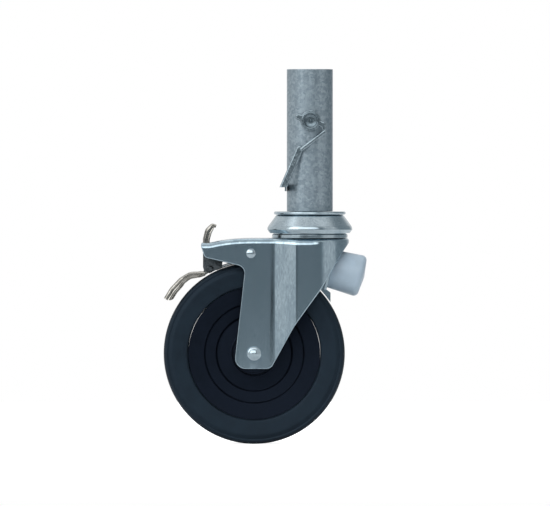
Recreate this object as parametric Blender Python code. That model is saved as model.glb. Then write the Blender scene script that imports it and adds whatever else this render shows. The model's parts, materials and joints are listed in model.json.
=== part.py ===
"""Scaffold castor: tube stem, swivel head, pressed fork, braked 200 mm wheel.

Metres, +Z up.  The origin is on the swivel axis at the top face of the stem
flange.  X runs from the brake pedal (-X) to the spring cap (+X) and Y runs
along the axle, with the side that is seen first towards -Y.
"""

import math

import bmesh
import bpy
from mathutils import Matrix, Vector

# Clearances
SEAT = 0.0003            # between faces that touch on the real castor
RUN = 0.0006             # between the tyre and the brake arm that grips it

# Stem tube, flange and kingpin
TUBE_D = 0.0508
TUBE_WALL = 0.0032
TUBE_TOP = 0.1572
FLANGE_D = 0.0795
FLANGE_T = 0.0036
FLANGE_EDGE_R = 0.0008
TUBE_SEAT_GAP = 0.0006      # shallow recess that the tube stands in, wider than the tube
TUBE_SEAT_DEPTH = 0.0002
KINGPIN_D = 0.018
KINGPIN_HEAD_D = 0.030
KINGPIN_HEAD_H = 0.008
KINGPIN_NUT_AF = 0.027
KINGPIN_NUT_H = 0.007
KINGPIN_TAIL = 0.0012    # thread left showing below the nut

# Swivel cup, a 3 mm pressing with one bulge
CUP_T = 0.003
CUP_BULGE_D = 0.0940
CUP_SLOPE_W = 0.0098     # from the bulge in to the cup's flat top
CUP_LIP_IN = 0.0028      # how far the lip turns back in
CUP_SLOPE_H = 0.0135     # from the cup's top down to the bulge
CUP_BAND_H = 0.0028      # height of the bulge's nearly upright band
CUP_RETURN_H = 0.0037    # from the band down to the lip

# Swivel bearing
UPPER_BALL_D = 0.010
UPPER_BALL_INSET = 0.0098   # from the bulge in to the middle of the balls
UPPER_BALL_COUNT = 12
NECK_RING_INSET = 0.0052    # from the bulge in to the neck ring
NECK_RING_W = 0.0103
NECK_RING_H = 0.0044
NECK_LIP_IN = 0.0014        # step at the top of the neck ring, inside the cup's lip
LOWER_BALL_D = 0.006
LOWER_BALL_PITCH_R = 0.019
LOWER_BALL_COUNT = 10
BALL_CAGE_T = 0.0014
CAGE_SHARE = 0.4         # width of a cage ring, as a share of its ball or roller
LOWER_RACE_D = 0.050
LOWER_RACE_BASE = 0.002  # metal left under the lower ball groove

# Fork, pressed from 4 mm sheet
FORK_T = 0.004
CROWN_TOP_Z = -0.0294
CROWN_DIP = 0.0052       # how far the crown falls towards the pedal
CROWN_DIP_FROM_X = -0.060
CROWN_DIP_TO_X = -0.110
CROWN_HOLE_D = 0.026
CHEEK_OUT_Y = 0.035      # outer face of the narrow front cheeks
NOSE_R = 0.0434          # outer radius of the round back of the crown
FOLD_X = -0.042
SHOULDER_X = -0.0145
EDGE_R_FRONT = 0.0060
EDGE_R_WIDE = 0.0078
EDGE_R_NOSE = 0.003
LEG_BACK_HALF = 0.0183   # from the axle back and forward to the leg's sides
LEG_FRONT_HALF = 0.0227
LEG_END_DROP = 0.0171    # from the axle down to the leg's end
# Back edge of the leg: x, share of the drop from the crown to the axle, corner radius
LEG_BACK = [(0.0371, 0.111, 0.030), (0.0134, 0.430, 0.080), (-0.0173, 0.765, 0.080)]
# Brow over the tyre, from the leg forward: x, z, corner radius
BROW = [
    (-0.0715, -0.0613, 0.009),
    (-0.0963, -0.0552, 0.060),
    (-0.1159, -0.0508, 0.006),
    (-0.1200, -0.0390, 0.004),
]
FORK_FRONT_X = BROW[-1][0]
NOTCH_X = -0.096         # back of the slot that the release finger rises through
NOTCH_HALF_Y = 0.021

# Wheel
WHEEL_D = 0.200
AXLE_X = -0.0614
CROWN_TO_TYRE = 0.0232   # free height between the crown and the tread
AXLE_Z = CROWN_TOP_Z - FORK_T - CROWN_TO_TYRE - WHEEL_D / 2
TYRE_W = 0.050
TYRE_DEPTH = 0.027       # rubber from the tread in to the wheel centre
TYRE_SHOULDER_R = 0.007
TYRE_LIP_IN = 0.0045     # how far the rubber's inner edge stands in from its side
INNER_RING_SHARE = 0.362    # places of the two stepped rings between hub and tyre
OUTER_RING_SHARE = 0.624
RING_STEP_W = 0.0015
# Half widths of the wheel centre from the hub out, as shares of the tyre's half width
CENTRE_SHARES = (0.56, 0.50, 0.60, 0.64, 0.74)
HUB_D = 0.046
HUB_W = 0.058
HUB_BORE_D = 0.0308
ROLLER_D = 0.0048
ROLLER_COUNT = 8
ROLLER_CAGE_T = 0.0015
SLEEVE_BORE_D = 0.0126
THRUST_WASHER_D = 0.042

# Axle bolt
AXLE_D = 0.012
AXLE_HEAD_D = 0.0167
AXLE_HEAD_H = 0.005
AXLE_NUT_AF = 0.019
AXLE_NUT_H = 0.010
WASHER_T = 0.002
WASHER_D = 0.024

# Brake pedal, which turns on a pin through both cheeks
PIVOT_X = -0.065
PIVOT_Z = -0.046
PIVOT_PIN_D = 0.008
PIVOT_HEAD_D = 0.0108
PIVOT_HEAD_H = 0.003
PIVOT_BUSH_D = 0.013
PIVOT_CLIP_D = 0.016
PIVOT_CLIP_T = 0.0012
PEDAL_T = 0.003
PEDAL_IN_Y = 0.0153      # inner face of each pedal cheek
FOOT_T = 0.0028
FINGER_T = 0.0025
RIVET_D = 0.005
RIVET_HEAD_D = 0.0084
RIVET_HEAD_H = 0.0017
CAM_DEG = -21.74
CAM_D = 0.006
CAM_TENON_D = 0.004      # ends of the cam bar that sit in the cheeks

PEDAL_END_R = 0.0072     # round end of the cheeks about the pivot pin
PEDAL_END_HALF = 0.008
CHEEK_CLEAR = 0.0012     # between the cheeks and the tread
CHEEK_ARC_DEG = (-20.7, -29.2)

# Points of the pedal: degrees round the axle from straight above it, with forwards
# negative, then height over the tread, then the corner's radius.
CHEEK_UNDER = [
    (-18.94, 0.00815, 0.003),
]
CHEEK_FRONT = [
    (-31.12, 0.00758, 0.002),
    (-30.76, 0.01067, 0.002),
    (-26.19, 0.02826, 0.003),
    (-20.98, 0.01899, 0.006),
    (-18.47, 0.01555, 0.004),
]
CHEEK_TOP_X = -0.0720    # where the cheeks' upper edge comes down to the pivot
CHEEK_TOP_Z = -0.0395
FOOT_HALF_Y = 0.0214
FOOT_TOP = [
    (-32.34, 0.00748, 0.0),
    (-38.57, 0.01485, 0.016),
    (-44.83, 0.01717, 0.014),
    (-52.24, 0.01775, 0.014),
    (-58.03, 0.01729, 0.004),
    (-59.16, 0.01391, 0.0015),
]
FOOT_UNDER = [
    (-56.52, 0.00767, 0.0015),
    (-47.38, 0.01090, 0.012),
    (-42.79, 0.00982, 0.012),
    (-34.27, 0.00213, 0.0),
]
TONGUE = [
    (-34.27, 0.00939, 0.0),
    (-31.63, 0.00640, 0.0),
    (-29.38, 0.01373, 0.002),
    (-24.23, 0.00867, 0.0015),
    (-25.96, 0.00188, 0.0015),
    (-29.73, 0.00203, 0.004),
    (-34.27, 0.00213, 0.0),
    (-36.42, 0.00376, 0.0),
]
TONGUE_HOLLOW = [
    (-38.26, 0.01079, 0.0),
    (-31.12, 0.00256, 0.0),
    (-28.83, 0.00992, 0.001),
    (-21.84, 0.00375, 0.0),
    (-28.33, -0.01866, 0.0),
    (-43.77, -0.00084, 0.0),
]
FINGER_FRONT = [
    (-28.96, 0.01669, 0.0015),
    (-24.16, 0.03876, 0.012),
    (-21.53, 0.04739, 0.008),
    (-18.08, 0.05116, 0.005),
    (-15.95, 0.04737, 0.0015),
]
FINGER_BACK = [
    (-17.60, 0.04289, 0.008),
    (-21.09, 0.03590, 0.012),
    (-25.59, 0.01321, 0.0015),
]
FINGER_BEAD = [
    (-19.51, 0.04492),
    (-22.21, 0.03837),
]
FINGER_BEAD_W = 0.0034
FINGER_BEAD_DEPTH = 0.0012
FINGER_RIVET = [(-26.05, 0.01865)]
FOOT_RIVET = [(-27.83, 0.00517)]

# Brake arm, a strip that lies over the tread
ARM_T = 0.003
ARM_HALF_Y = 0.013
ARM_FRONT_DEG = -24.7    # from straight above the axle, forwards is negative
LUG_X = 0.0060
LUG_TOP_Z = -0.053

# Spring cap with its bolt, on an axis that slopes down to the back
CAP_END_X = 0.0602
CAP_END_Z = -0.0727
CAP_TILT_DEG = 14.5
CAP_D = 0.0468
CAP_ROOT_D = 0.0425
CAP_WALL = 0.0025
CAP_CROWN = 0.0026       # how far the cap's end bulges
CAP_EDGE_R = 0.0055
CAP_END_ROOM = 0.004     # from the cap's end in to the adjuster nut
BRACKET_T = 0.0025
BRACKET_X = 0.024        # where the bracket's back face meets the cap's axis
BRACKET_RISE = 0.0185    # from the cap's axis up along the plate
BRACKET_BEND_R = 0.0063  # from the tread out to the plate's bend
BRACKET_BEND_H = 0.0035  # height of the bend above the upright tail
BRACKET_TAIL_OUT = 0.0047   # from the bend back to the tail
BRACKET_TAIL_H = 0.0107     # its lower end is cut off along the tread
BRACKET_TAIL_HALF_Y = 0.016
BRACKET_CLEAR = 0.0013   # between the tail with its side gussets and the tread
GUSSET_RISE = 0.008      # from the bend up along the plate
GUSSET_FRONT = 0.0056    # from the bend forward and up to the gusset's corner
GUSSET_TOP = 0.0061
ROD_D = 0.006
ROD_HEAD_AF = 0.010
ROD_HEAD_H = 0.004
ROD_NUT_H = 0.005
SPRING_WIRE_D = 0.0026
SPRING_R = 0.0125
SPRING_TURNS = 4
SPRING_WASHER_T = 0.0015

# Lock pin through the stem, with the latch that hangs on it
LOCK_X = 0.0007
LOCK_Z = 0.1004
LOCK_PIN_D = 0.011
LOCK_HOLE_D = 0.012
LOCK_HEAD_D = 0.021
LOCK_HEAD_H = 0.008
LOCK_PIN_TAIL = 0.006    # how far it stands out at the back of the tube
LATCH_T = 0.002
LATCH_BAR_T = 0.004
LATCH_EYE_D = 0.0230
LATCH_TAB_Y = 0.006      # how far the bent end reaches back beside the tube
LATCH_TAB_LOW_Z = 0.0225
LATCH_TAB_HIGH_Z = 0.0300
# Bars of the latch: from, to, width; the third one is the thicker
LATCH_EARS = ((-0.0125, 0.1046), (0.0142, 0.0960), 0.0070)
LATCH_LINK = ((0.0142, 0.0960), (0.0163, 0.0880), 0.0052)
LATCH_BAR = ((0.0163, 0.0880), (-0.0088, 0.0688), 0.0048)
LATCH_HANDLE = ((-0.0112, 0.0690), (-0.0292, 0.0270), 0.0078)

# Facets of round pieces
TYRE_STEPS = 48
FINE = 32
MEDIUM = 20
COARSE = 14


def metal(name, colour, roughness, metallic=1.0):
    """A Principled material with one colour."""
    material = bpy.data.materials.new(name)
    material.use_nodes = True
    shader = material.node_tree.nodes["Principled BSDF"]
    shader.inputs["Base Color"].default_value = (*colour, 1.0)
    shader.inputs["Roughness"].default_value = roughness
    shader.inputs["Metallic"].default_value = metallic
    material.diffuse_color = (*colour, 1.0)
    return material


def clear_scene():
    for old in list(bpy.data.objects):
        bpy.data.objects.remove(old, do_unlink=True)


def pivot(name, place, parent=None):
    """An empty on a joint's axis, which carries the pieces of one body."""
    empty = bpy.data.objects.new(name, None)
    empty.empty_display_size = 0.02
    bpy.context.scene.collection.objects.link(empty)
    empty["place"] = place
    empty.location = Vector(place)
    if parent:
        empty.parent = parent
        empty.location = Vector(place) - Vector(parent["place"])
    return empty


def face_outwards(bm):
    bmesh.ops.recalc_face_normals(bm, faces=bm.faces)
    if bm.calc_volume(signed=True) < 0.0:
        bmesh.ops.reverse_faces(bm, faces=bm.faces)


def piece(name, bm, look, body, sharp_deg=35.0):
    """Turn a mesh in world coordinates into a named object of one body."""
    face_outwards(bm)
    bm.transform(Matrix.Translation(-Vector(body["place"])))
    mesh = bpy.data.meshes.new(name)
    bm.to_mesh(mesh)
    bm.free()
    mesh.shade_smooth()
    mesh.set_sharp_from_angle(angle=math.radians(sharp_deg))
    mesh.materials.append(metal(name, *look))
    obj = bpy.data.objects.new(name, mesh)
    bpy.context.scene.collection.objects.link(obj)
    obj.parent = body
    return obj


def arc(centre, radius, start_deg, end_deg, steps):
    """Points on an arc, both ends included."""
    points = []
    for i in range(steps + 1):
        angle = math.radians(start_deg + (end_deg - start_deg) * i / steps)
        points.append((centre[0] + radius * math.cos(angle), centre[1] + radius * math.sin(angle)))
    return points


def rounded(corners, closed=True, step_deg=18.0):
    """Corners (a, b, radius) to points, with an arc at each corner."""
    count = len(corners)
    points = []
    for i, (a, b, radius) in enumerate(corners):
        here = Vector((a, b))
        is_end = not closed and i in (0, count - 1)
        if is_end or radius <= 0.0:
            points.append((a, b))
            continue
        to_last = (Vector(corners[i - 1][:2]) - here).normalized()
        to_next = (Vector(corners[(i + 1) % count][:2]) - here).normalized()
        half = to_last.angle(to_next) / 2.0
        centre = here + (to_last + to_next).normalized() * (radius / math.sin(half))
        first = here + to_last * (radius / math.tan(half)) - centre
        last = here + to_next * (radius / math.tan(half)) - centre
        turn = math.atan2(first.x * last.y - first.y * last.x, first.dot(last))
        steps = max(1, math.ceil(abs(turn) / math.radians(step_deg)))
        start = math.degrees(math.atan2(first.y, first.x))
        points += arc(centre, radius, start, start + math.degrees(turn), steps)
    return points


def shifted(corners, distance):
    """An open path of corners moved to its right by a distance."""
    lines = []
    for (a0, b0, _), (a1, b1, _) in zip(corners, corners[1:]):
        along = Vector((a1 - a0, b1 - b0)).normalized()
        side = Vector((along.y, -along.x)) * distance
        lines.append((Vector((a0, b0)) + side, along))
    result = [(*lines[0][0], 0.0)]
    for i, (a, b, radius) in enumerate(corners[1:-1]):
        (p, u), (q, v) = lines[i], lines[i + 1]
        cross = u.x * v.y - u.y * v.x
        if abs(cross) < 1e-6:
            meet = q
        else:
            meet = p + u * (((q - p).x * v.y - (q - p).y * v.x) / cross)
        new_radius = radius - distance if cross < 0.0 else radius + distance
        result.append((*meet, max(new_radius, 0.0)))
    end = Vector(corners[-1][:2]) + Vector((lines[-1][1].y, -lines[-1][1].x)) * distance
    return result + [(*end, 0.0)]


def lathe(profile, steps):
    """Turn a closed profile of (radius, height) about Z.

    A profile that starts and ends on the axis closes there with a point.
    """
    bm = bmesh.new()
    rings = []
    for radius, height in profile:
        if radius < 1e-7:
            rings.append([bm.verts.new((0.0, 0.0, height))])
            continue
        turns = [2.0 * math.pi * k / steps for k in range(steps)]
        spots = [(radius * math.cos(t), radius * math.sin(t), height) for t in turns]
        rings.append([bm.verts.new(spot) for spot in spots])
    pairs = list(zip(rings, rings[1:]))
    if len(rings[0]) > 1:
        pairs.append((rings[-1], rings[0]))
    for low, high in pairs:
        for k in range(steps):
            n = (k + 1) % steps
            ring = [low[k % len(low)], low[n % len(low)], high[n % len(high)], high[k % len(high)]]
            bm.faces.new(list(dict.fromkeys(ring)))
    return bm


def tube(outer_d, inner_d, low, high, steps):
    return lathe([(inner_d / 2, low), (outer_d / 2, low), (outer_d / 2, high), (inner_d / 2, high)], steps)


def rod(diameter, low, high, steps, chamfer=0.0):
    r = diameter / 2
    side = [(r - chamfer, low), (r, low + chamfer), (r, high - chamfer), (r - chamfer, high)]
    return lathe(list(dict.fromkeys([(0.0, low), *side, (0.0, high)])), steps)


def along_y(bm, x, z):
    """Stand a turned mesh on an axis that runs along +Y."""
    bm.transform(Matrix.Translation((x, 0.0, z)) @ Matrix.Rotation(math.radians(-90.0), 4, "X"))
    return bm


def cap_axis(bm):
    """Put a turned mesh on the cap's axis, with its zero at the cap's end face."""
    tilt = Matrix.Rotation(math.radians(90.0 + CAP_TILT_DEG), 4, "Y")
    bm.transform(Matrix.Translation((CAP_END_X, 0.0, CAP_END_Z)) @ tilt)
    return bm


def on_cap_axis(x):
    """Distance along the cap's axis, from its end face, at which it passes x."""
    return (x - CAP_END_X) / math.cos(math.radians(CAP_TILT_DEG))


def prism(outline, low_y, high_y):
    """Extrude an outline of (x, z) points along Y."""
    bm = bmesh.new()
    near = [bm.verts.new((x, low_y, z)) for x, z in outline]
    far = [bm.verts.new((x, high_y, z)) for x, z in outline]
    bm.faces.new(near)
    bm.faces.new(list(reversed(far)))
    for i in range(len(outline)):
        n = (i + 1) % len(outline)
        bm.faces.new([near[i], far[i], far[n], near[n]])
    return bm


def lay_flat(z):
    """Turns a prism so that its outline lies in the plane at height z."""
    return Matrix.Translation((0.0, 0.0, z)) @ Matrix.Rotation(math.radians(90.0), 4, "X")


def hexagon(across_flats, low, high, turn_deg=0.0):
    """A six-sided block along Z with its flats to +X and -X."""
    bm = lathe([(0.0, low), (1.0, low), (1.0, high), (0.0, high)], 6)
    corner_r = across_flats / math.sqrt(3.0)
    bm.transform(Matrix.Rotation(math.radians(30.0 + turn_deg), 4, "Z"))
    bm.transform(Matrix.Diagonal((corner_r, corner_r, 1.0, 1.0)))
    return bm


def combine(bm, tool, operation="DIFFERENCE"):
    """Cut, join or intersect one mesh with another and return the result."""
    pair = []
    for label, source in (("work", bm), ("tool", tool)):
        face_outwards(source)
        mesh = bpy.data.meshes.new(label)
        source.to_mesh(mesh)
        source.free()
        obj = bpy.data.objects.new(label, mesh)
        bpy.context.scene.collection.objects.link(obj)
        pair.append(obj)
    work, cutter = pair
    modifier = work.modifiers.new("combine", "BOOLEAN")
    modifier.operation = operation
    modifier.object = cutter
    modifier.solver = "EXACT"
    result = bmesh.new()
    result.from_object(work, bpy.context.evaluated_depsgraph_get())
    bmesh.ops.remove_doubles(result, verts=result.verts, dist=0.000002)
    for obj in pair:
        mesh = obj.data
        bpy.data.objects.remove(obj, do_unlink=True)
        bpy.data.meshes.remove(mesh)
    return result


def cut_all(bm, tools):
    for tool in tools:
        bm = combine(bm, tool)
    return bm


def merged(parts):
    """Several closed meshes side by side in one, as separate solids."""
    result = bmesh.new()
    for part in parts:
        mesh = bpy.data.meshes.new("part")
        part.to_mesh(mesh)
        part.free()
        result.from_mesh(mesh)
        bpy.data.meshes.remove(mesh)
    return result


# Radii and heights of the swivel head, from the flange down
UPPER_BALL_PITCH_R = CUP_BULGE_D / 2 - UPPER_BALL_INSET
NECK_RING_R = CUP_BULGE_D / 2 - NECK_RING_INSET
CUP_TOP_Z = -FLANGE_T - SEAT
CROWN_UNDER_Z = CROWN_TOP_Z - FORK_T
LOWER_BALL_Z = CROWN_UNDER_Z - SEAT - LOWER_BALL_D / 2
LOWER_RACE_Z = LOWER_BALL_Z - LOWER_BALL_D / 2 - SEAT - LOWER_RACE_BASE
NUT_TOP_Z = LOWER_RACE_Z - SEAT
KINGPIN_END_Z = NUT_TOP_Z - KINGPIN_NUT_H - KINGPIN_TAIL
KINGPIN_HOLE_D = KINGPIN_D + 2 * SEAT
CHEEK_IN_Y = CHEEK_OUT_Y - FORK_T


def cup_path():
    """Outer line of the cup's section, from its bore out and down to the lip."""
    band_z = CUP_TOP_Z - CUP_SLOPE_H
    lip_z = band_z - CUP_BAND_H - CUP_RETURN_H
    return [
        (KINGPIN_HOLE_D / 2, CUP_TOP_Z, 0.0),
        (CUP_BULGE_D / 2 - CUP_SLOPE_W, CUP_TOP_Z, 0.0025),
        (CUP_BULGE_D / 2, band_z, 0.0065),
        (CUP_BULGE_D / 2, band_z - CUP_BAND_H, 0.0015),
        (CUP_BULGE_D / 2 - CUP_LIP_IN, lip_z, 0.0),
    ]


def upper_ball_z():
    """Height at which a ball on its pitch circle meets the inside of the cup."""
    wall = [Vector(p) for p in rounded(shifted(cup_path(), CUP_T), closed=False)]
    reach = UPPER_BALL_D / 2 + SEAT
    centre = Vector((UPPER_BALL_PITCH_R, CUP_TOP_Z - CUP_T - reach))

    def distance():
        gaps = []
        for start, end in zip(wall, wall[1:]):
            run = end - start
            share = min(1.0, max(0.0, (centre - start).dot(run) / run.length_squared))
            gaps.append((centre - start - run * share).length)
        return min(gaps)

    while distance() < reach:
        centre.y -= 0.00002
    return centre.y


def ball_ring(pitch_r, height, diameter, count, segments):
    """A row of balls held in a flat cage ring."""
    balls = []
    rows = segments // 2 + 1
    for i in range(count):
        bm = bmesh.new()
        bmesh.ops.create_uvsphere(bm, u_segments=segments, v_segments=rows, radius=diameter / 2)
        turn = Matrix.Rotation(2.0 * math.pi * i / count, 4, "Z")
        bm.transform(turn @ Matrix.Translation((pitch_r, 0.0, height)))
        balls.append(bm)
    width = CAGE_SHARE * diameter
    low, high = height - BALL_CAGE_T / 2, height + BALL_CAGE_T / 2
    cage = tube(2 * pitch_r + width, 2 * pitch_r - width, low, high, count)
    return combine(cage, merged(balls), "UNION")


def stem_flange():
    """The disc under the tube, with its rim rounded and a shallow seat for the tube."""
    r, bore_r, seat_r = FLANGE_D / 2, KINGPIN_HOLE_D / 2, TUBE_D / 2 + TUBE_SEAT_GAP
    corners = [
        (bore_r, -FLANGE_T, 0.0),
        (r, -FLANGE_T, FLANGE_EDGE_R),
        (r, 0.0, FLANGE_EDGE_R),
        (seat_r, 0.0, 0.0),
        (seat_r, -TUBE_SEAT_DEPTH, 0.0),
        (bore_r, -TUBE_SEAT_DEPTH, 0.0),
    ]
    return lathe(rounded(corners, step_deg=90.0), FINE)


def stem_tube():
    bm = tube(TUBE_D, TUBE_D - 2 * TUBE_WALL, SEAT, TUBE_TOP, FINE)
    hole = along_y(rod(LOCK_HOLE_D, -TUBE_D, TUBE_D, COARSE), LOCK_X, LOCK_Z)
    return combine(bm, hole)


def kingpin():
    shank = rod(KINGPIN_D, KINGPIN_END_Z, SEAT + KINGPIN_HEAD_H / 2, MEDIUM, 0.0006)
    head = hexagon(KINGPIN_HEAD_D * math.sqrt(3.0) / 2, SEAT, SEAT + KINGPIN_HEAD_H)
    return combine(head, shank, "UNION")


def hex_nut(across_flats, bore_d, low, high):
    """A nut with its corners turned down at both ends."""
    corner_r = across_flats / math.sqrt(3.0)
    turned = 0.12 * across_flats / 2
    profile = [(0.0, low), (across_flats / 2, low), (corner_r, low + turned), (corner_r, high - turned)]
    profile += [(across_flats / 2, high), (0.0, high)]
    blank = combine(hexagon(across_flats, low, high), lathe(profile, 12), "INTERSECT")
    return combine(blank, rod(bore_d, low - SEAT, high + SEAT, COARSE))


def neck_ring():
    """The fork's upper ball race, with a groove for the balls and a lip inside the cup."""
    base = CROWN_TOP_Z + SEAT
    step = CROWN_TOP_Z + NECK_RING_H
    outer_r, lip_r, bore_r = NECK_RING_R, NECK_RING_R - NECK_LIP_IN, NECK_RING_R - NECK_RING_W
    chamfer = 0.0006
    groove = arc((UPPER_BALL_PITCH_R, upper_ball_z()), UPPER_BALL_D / 2 + SEAT, -60.0, -120.0, 2)
    profile = [(bore_r, base), (outer_r, base), (outer_r, step - chamfer), (outer_r - chamfer, step)]
    profile += [(lip_r, step), (lip_r, groove[0][1])] + groove + [(bore_r, groove[-1][1])]
    return lathe(profile, FINE)


def lower_race():
    """The kingpin's ball race, held up against the crown's balls by the nut."""
    top = LOWER_BALL_Z - LOWER_BALL_D / 4
    groove_r = LOWER_BALL_D / 2 + SEAT
    groove = arc((LOWER_BALL_PITCH_R, LOWER_BALL_Z), groove_r, -150.0, -30.0, 3)
    rim_r = LOWER_RACE_D / 2
    profile = [(KINGPIN_HOLE_D / 2, LOWER_RACE_Z), (KINGPIN_HOLE_D / 2, top)] + groove
    profile += [(rim_r, top), (rim_r, LOWER_RACE_Z + 0.0015), (rim_r - 0.0015, LOWER_RACE_Z)]
    return lathe(profile, MEDIUM)


def crown_top(x):
    """Height of the crown's top face, which falls away towards the pedal."""
    share = (CROWN_DIP_FROM_X - x) / (CROWN_DIP_FROM_X - CROWN_DIP_TO_X)
    return CROWN_TOP_Z - CROWN_DIP * min(1.0, max(0.0, share)) ** 2.4


def edge_radius(x):
    """Radius of the crown's outer edge, widest at the shoulders."""
    if x < SHOULDER_X:
        share = max(0.0, (x - FOLD_X) / (SHOULDER_X - FOLD_X))
        return EDGE_R_FRONT + (EDGE_R_WIDE - EDGE_R_FRONT) * share
    return EDGE_R_WIDE + (EDGE_R_NOSE - EDGE_R_WIDE) * max(0.0, x) / NOSE_R


def fork_half_plan(inset, front_x):
    """Half of the fork seen from above: narrow cheek, fold, wide part, round nose."""
    corners = [
        (front_x, CHEEK_OUT_Y, 0.0),
        (FOLD_X, CHEEK_OUT_Y, 0.012),
        (SHOULDER_X, NOSE_R, 0.010),
        (0.0, NOSE_R, 0.0),
    ]
    path = rounded(shifted(corners, inset), closed=False, step_deg=6.0)
    stations = 8
    (x0, y0), (x1, _) = path[0], path[1]
    cheek = [(x0 + (x1 - x0) * i / stations, y0) for i in range(stations)]
    nose = arc((0.0, 0.0), NOSE_R - inset, 90.0, 0.0, 10)
    return cheek + path[1:-1] + nose


def fork_block(inset, front_x, base_z):
    """The fork's plan drawn down from the crown, with its top edge rounded over."""
    half = fork_half_plan(inset, front_x)
    outline = [Vector((x, -y)) for x, y in half] + [Vector((x, y)) for x, y in reversed(half[:-1])]
    last = len(outline) - 1
    inward = []
    for i in range(last + 1):
        along = outline[min(i + 1, last)] - outline[max(i - 1, 0)]
        inward.append(Vector((-along.y, along.x)).normalized())
    bm = bmesh.new()
    rings = [[bm.verts.new((p.x, p.y, base_z)) for p in outline]]
    for angle in (0.0, 30.0, 60.0, 90.0):
        ring = []
        for p, side in zip(outline, inward):
            radius = max(edge_radius(p.x) - inset, SEAT)
            q = p + side * radius * (1.0 - math.cos(math.radians(angle)))
            z = crown_top(p.x) - inset - radius * (1.0 - math.sin(math.radians(angle)))
            ring.append(bm.verts.new((q.x, q.y, z)))
        rings.append(ring)
    for low, high in zip(rings, rings[1:]):
        for i in range(last):
            bm.faces.new([low[i], low[i + 1], high[i + 1], high[i]])
        bm.faces.new([low[last], low[0], high[0], high[last]])
    bm.faces.new(list(reversed(rings[0])))
    top = rings[-1]
    for i in range(last // 2):
        bm.faces.new(list(dict.fromkeys([top[i], top[i + 1], top[last - i - 1], top[last - i]])))
    bmesh.ops.dissolve_limit(bm, angle_limit=math.radians(0.1), verts=bm.verts, edges=bm.edges)
    bmesh.ops.triangulate(bm, faces=[face for face in bm.faces if abs(face.normal.z) > 0.001])
    return bm


def fork_side():
    """The fork seen from the side: crown, brow over the tyre, leg and slanted back edge."""
    leg_z = AXLE_Z - LEG_END_DROP
    above = CROWN_TOP_Z + 0.010
    drop = CROWN_TOP_Z - AXLE_Z
    corners = [(FORK_FRONT_X, above, 0.0), (NOSE_R + 0.011, above, 0.0)]
    corners += [(x, CROWN_TOP_Z - share * drop, radius) for x, share, radius in LEG_BACK]
    corners += [(AXLE_X + LEG_BACK_HALF, leg_z, 0.008), (AXLE_X - LEG_FRONT_HALF, leg_z, 0.012)]
    return rounded(corners + BROW, step_deg=12.0)


def fork():
    below = AXLE_Z - 2 * LEG_END_DROP
    outside = fork_block(0.0, FORK_FRONT_X - FORK_T, below)
    inside = fork_block(FORK_T, FORK_FRONT_X - 3 * FORK_T, below - FORK_T)
    wide = 2 * NOSE_R
    solid = combine(combine(outside, inside), prism(fork_side(), -wide, wide), "INTERSECT")
    notch = rounded([
        (FORK_FRONT_X - 3 * FORK_T, -NOTCH_HALF_Y, 0.0),
        (NOTCH_X, -NOTCH_HALF_Y, 0.006),
        (NOTCH_X, NOTCH_HALF_Y, 0.006),
        (FORK_FRONT_X - 3 * FORK_T, NOTCH_HALF_Y, 0.0),
    ])
    slot = prism(notch, -0.02, 0.02)
    slot.transform(lay_flat(CROWN_TOP_Z))
    crown_hole = rod(CROWN_HOLE_D, CROWN_TOP_Z - 0.010, CROWN_TOP_Z + 0.010, MEDIUM)
    axle_hole = along_y(rod(SLEEVE_BORE_D, -wide, wide, COARSE), AXLE_X, AXLE_Z)
    pin_hole = along_y(rod(PIVOT_PIN_D + 2 * SEAT, -wide, wide, COARSE), PIVOT_X, PIVOT_Z)
    return combine(solid, merged([slot, crown_hole, axle_hole, pin_hole]))


def mirrored_profile(half):
    """A wheel section from its half at positive width."""
    return half + [(r, -h) for r, h in reversed(half)]


def tyre():
    outer_r, side = WHEEL_D / 2, TYRE_W / 2
    base_r = outer_r - TYRE_DEPTH
    half = [(base_r, side - TYRE_LIP_IN), (base_r + 0.0030, side - 0.3 * TYRE_LIP_IN)]
    middle = (outer_r - TYRE_SHOULDER_R, side - TYRE_SHOULDER_R)
    half += reversed(arc(middle, TYRE_SHOULDER_R, 0.0, 90.0, 3))
    return along_y(lathe(mirrored_profile(half), TYRE_STEPS), AXLE_X, AXLE_Z)


def wheel_core():
    """The moulded disc that carries the tyre, stepped at two rings, with its hub."""
    hub_r, hub_side = HUB_D / 2, HUB_W / 2
    rim_r = WHEEL_D / 2 - TYRE_DEPTH - SEAT
    steps = []
    for share in (INNER_RING_SHARE, OUTER_RING_SHARE):
        ring_r = hub_r + share * (rim_r - hub_r)
        steps += [ring_r, ring_r + RING_STEP_W]
    sides = [share * TYRE_W / 2 for share in CENTRE_SHARES]
    half = [(HUB_BORE_D / 2, hub_side), (hub_r, hub_side)]
    half += zip([hub_r + RING_STEP_W] + steps, sides)
    half += [(rim_r, TYRE_W / 2 - TYRE_LIP_IN)]
    return along_y(lathe(mirrored_profile(half), FINE), AXLE_X, AXLE_Z)


def roller_bearing():
    """Rollers between the hub and the sleeve, held by a cage ring at each end."""
    pitch_r = HUB_BORE_D / 2 - SEAT - ROLLER_D / 2
    end = HUB_W / 2 - 0.004
    bars = []
    for i in range(ROLLER_COUNT):
        turn = Matrix.Rotation(2.0 * math.pi * i / ROLLER_COUNT, 4, "Z")
        bm = rod(ROLLER_D, -end, end, 6)
        bm.transform(turn @ Matrix.Translation((pitch_r, 0.0, 0.0)))
        bars.append(bm)
    bm = merged(bars)
    cage_d = 2 * pitch_r + CAGE_SHARE * ROLLER_D
    bore_d = 2 * pitch_r - CAGE_SHARE * ROLLER_D
    for low in (-end - ROLLER_CAGE_T / 2, end - ROLLER_CAGE_T / 2):
        cage = tube(cage_d, bore_d, low, low + ROLLER_CAGE_T, 2 * ROLLER_COUNT)
        bm = combine(bm, cage, "UNION")
    return along_y(bm, AXLE_X, AXLE_Z)


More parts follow.
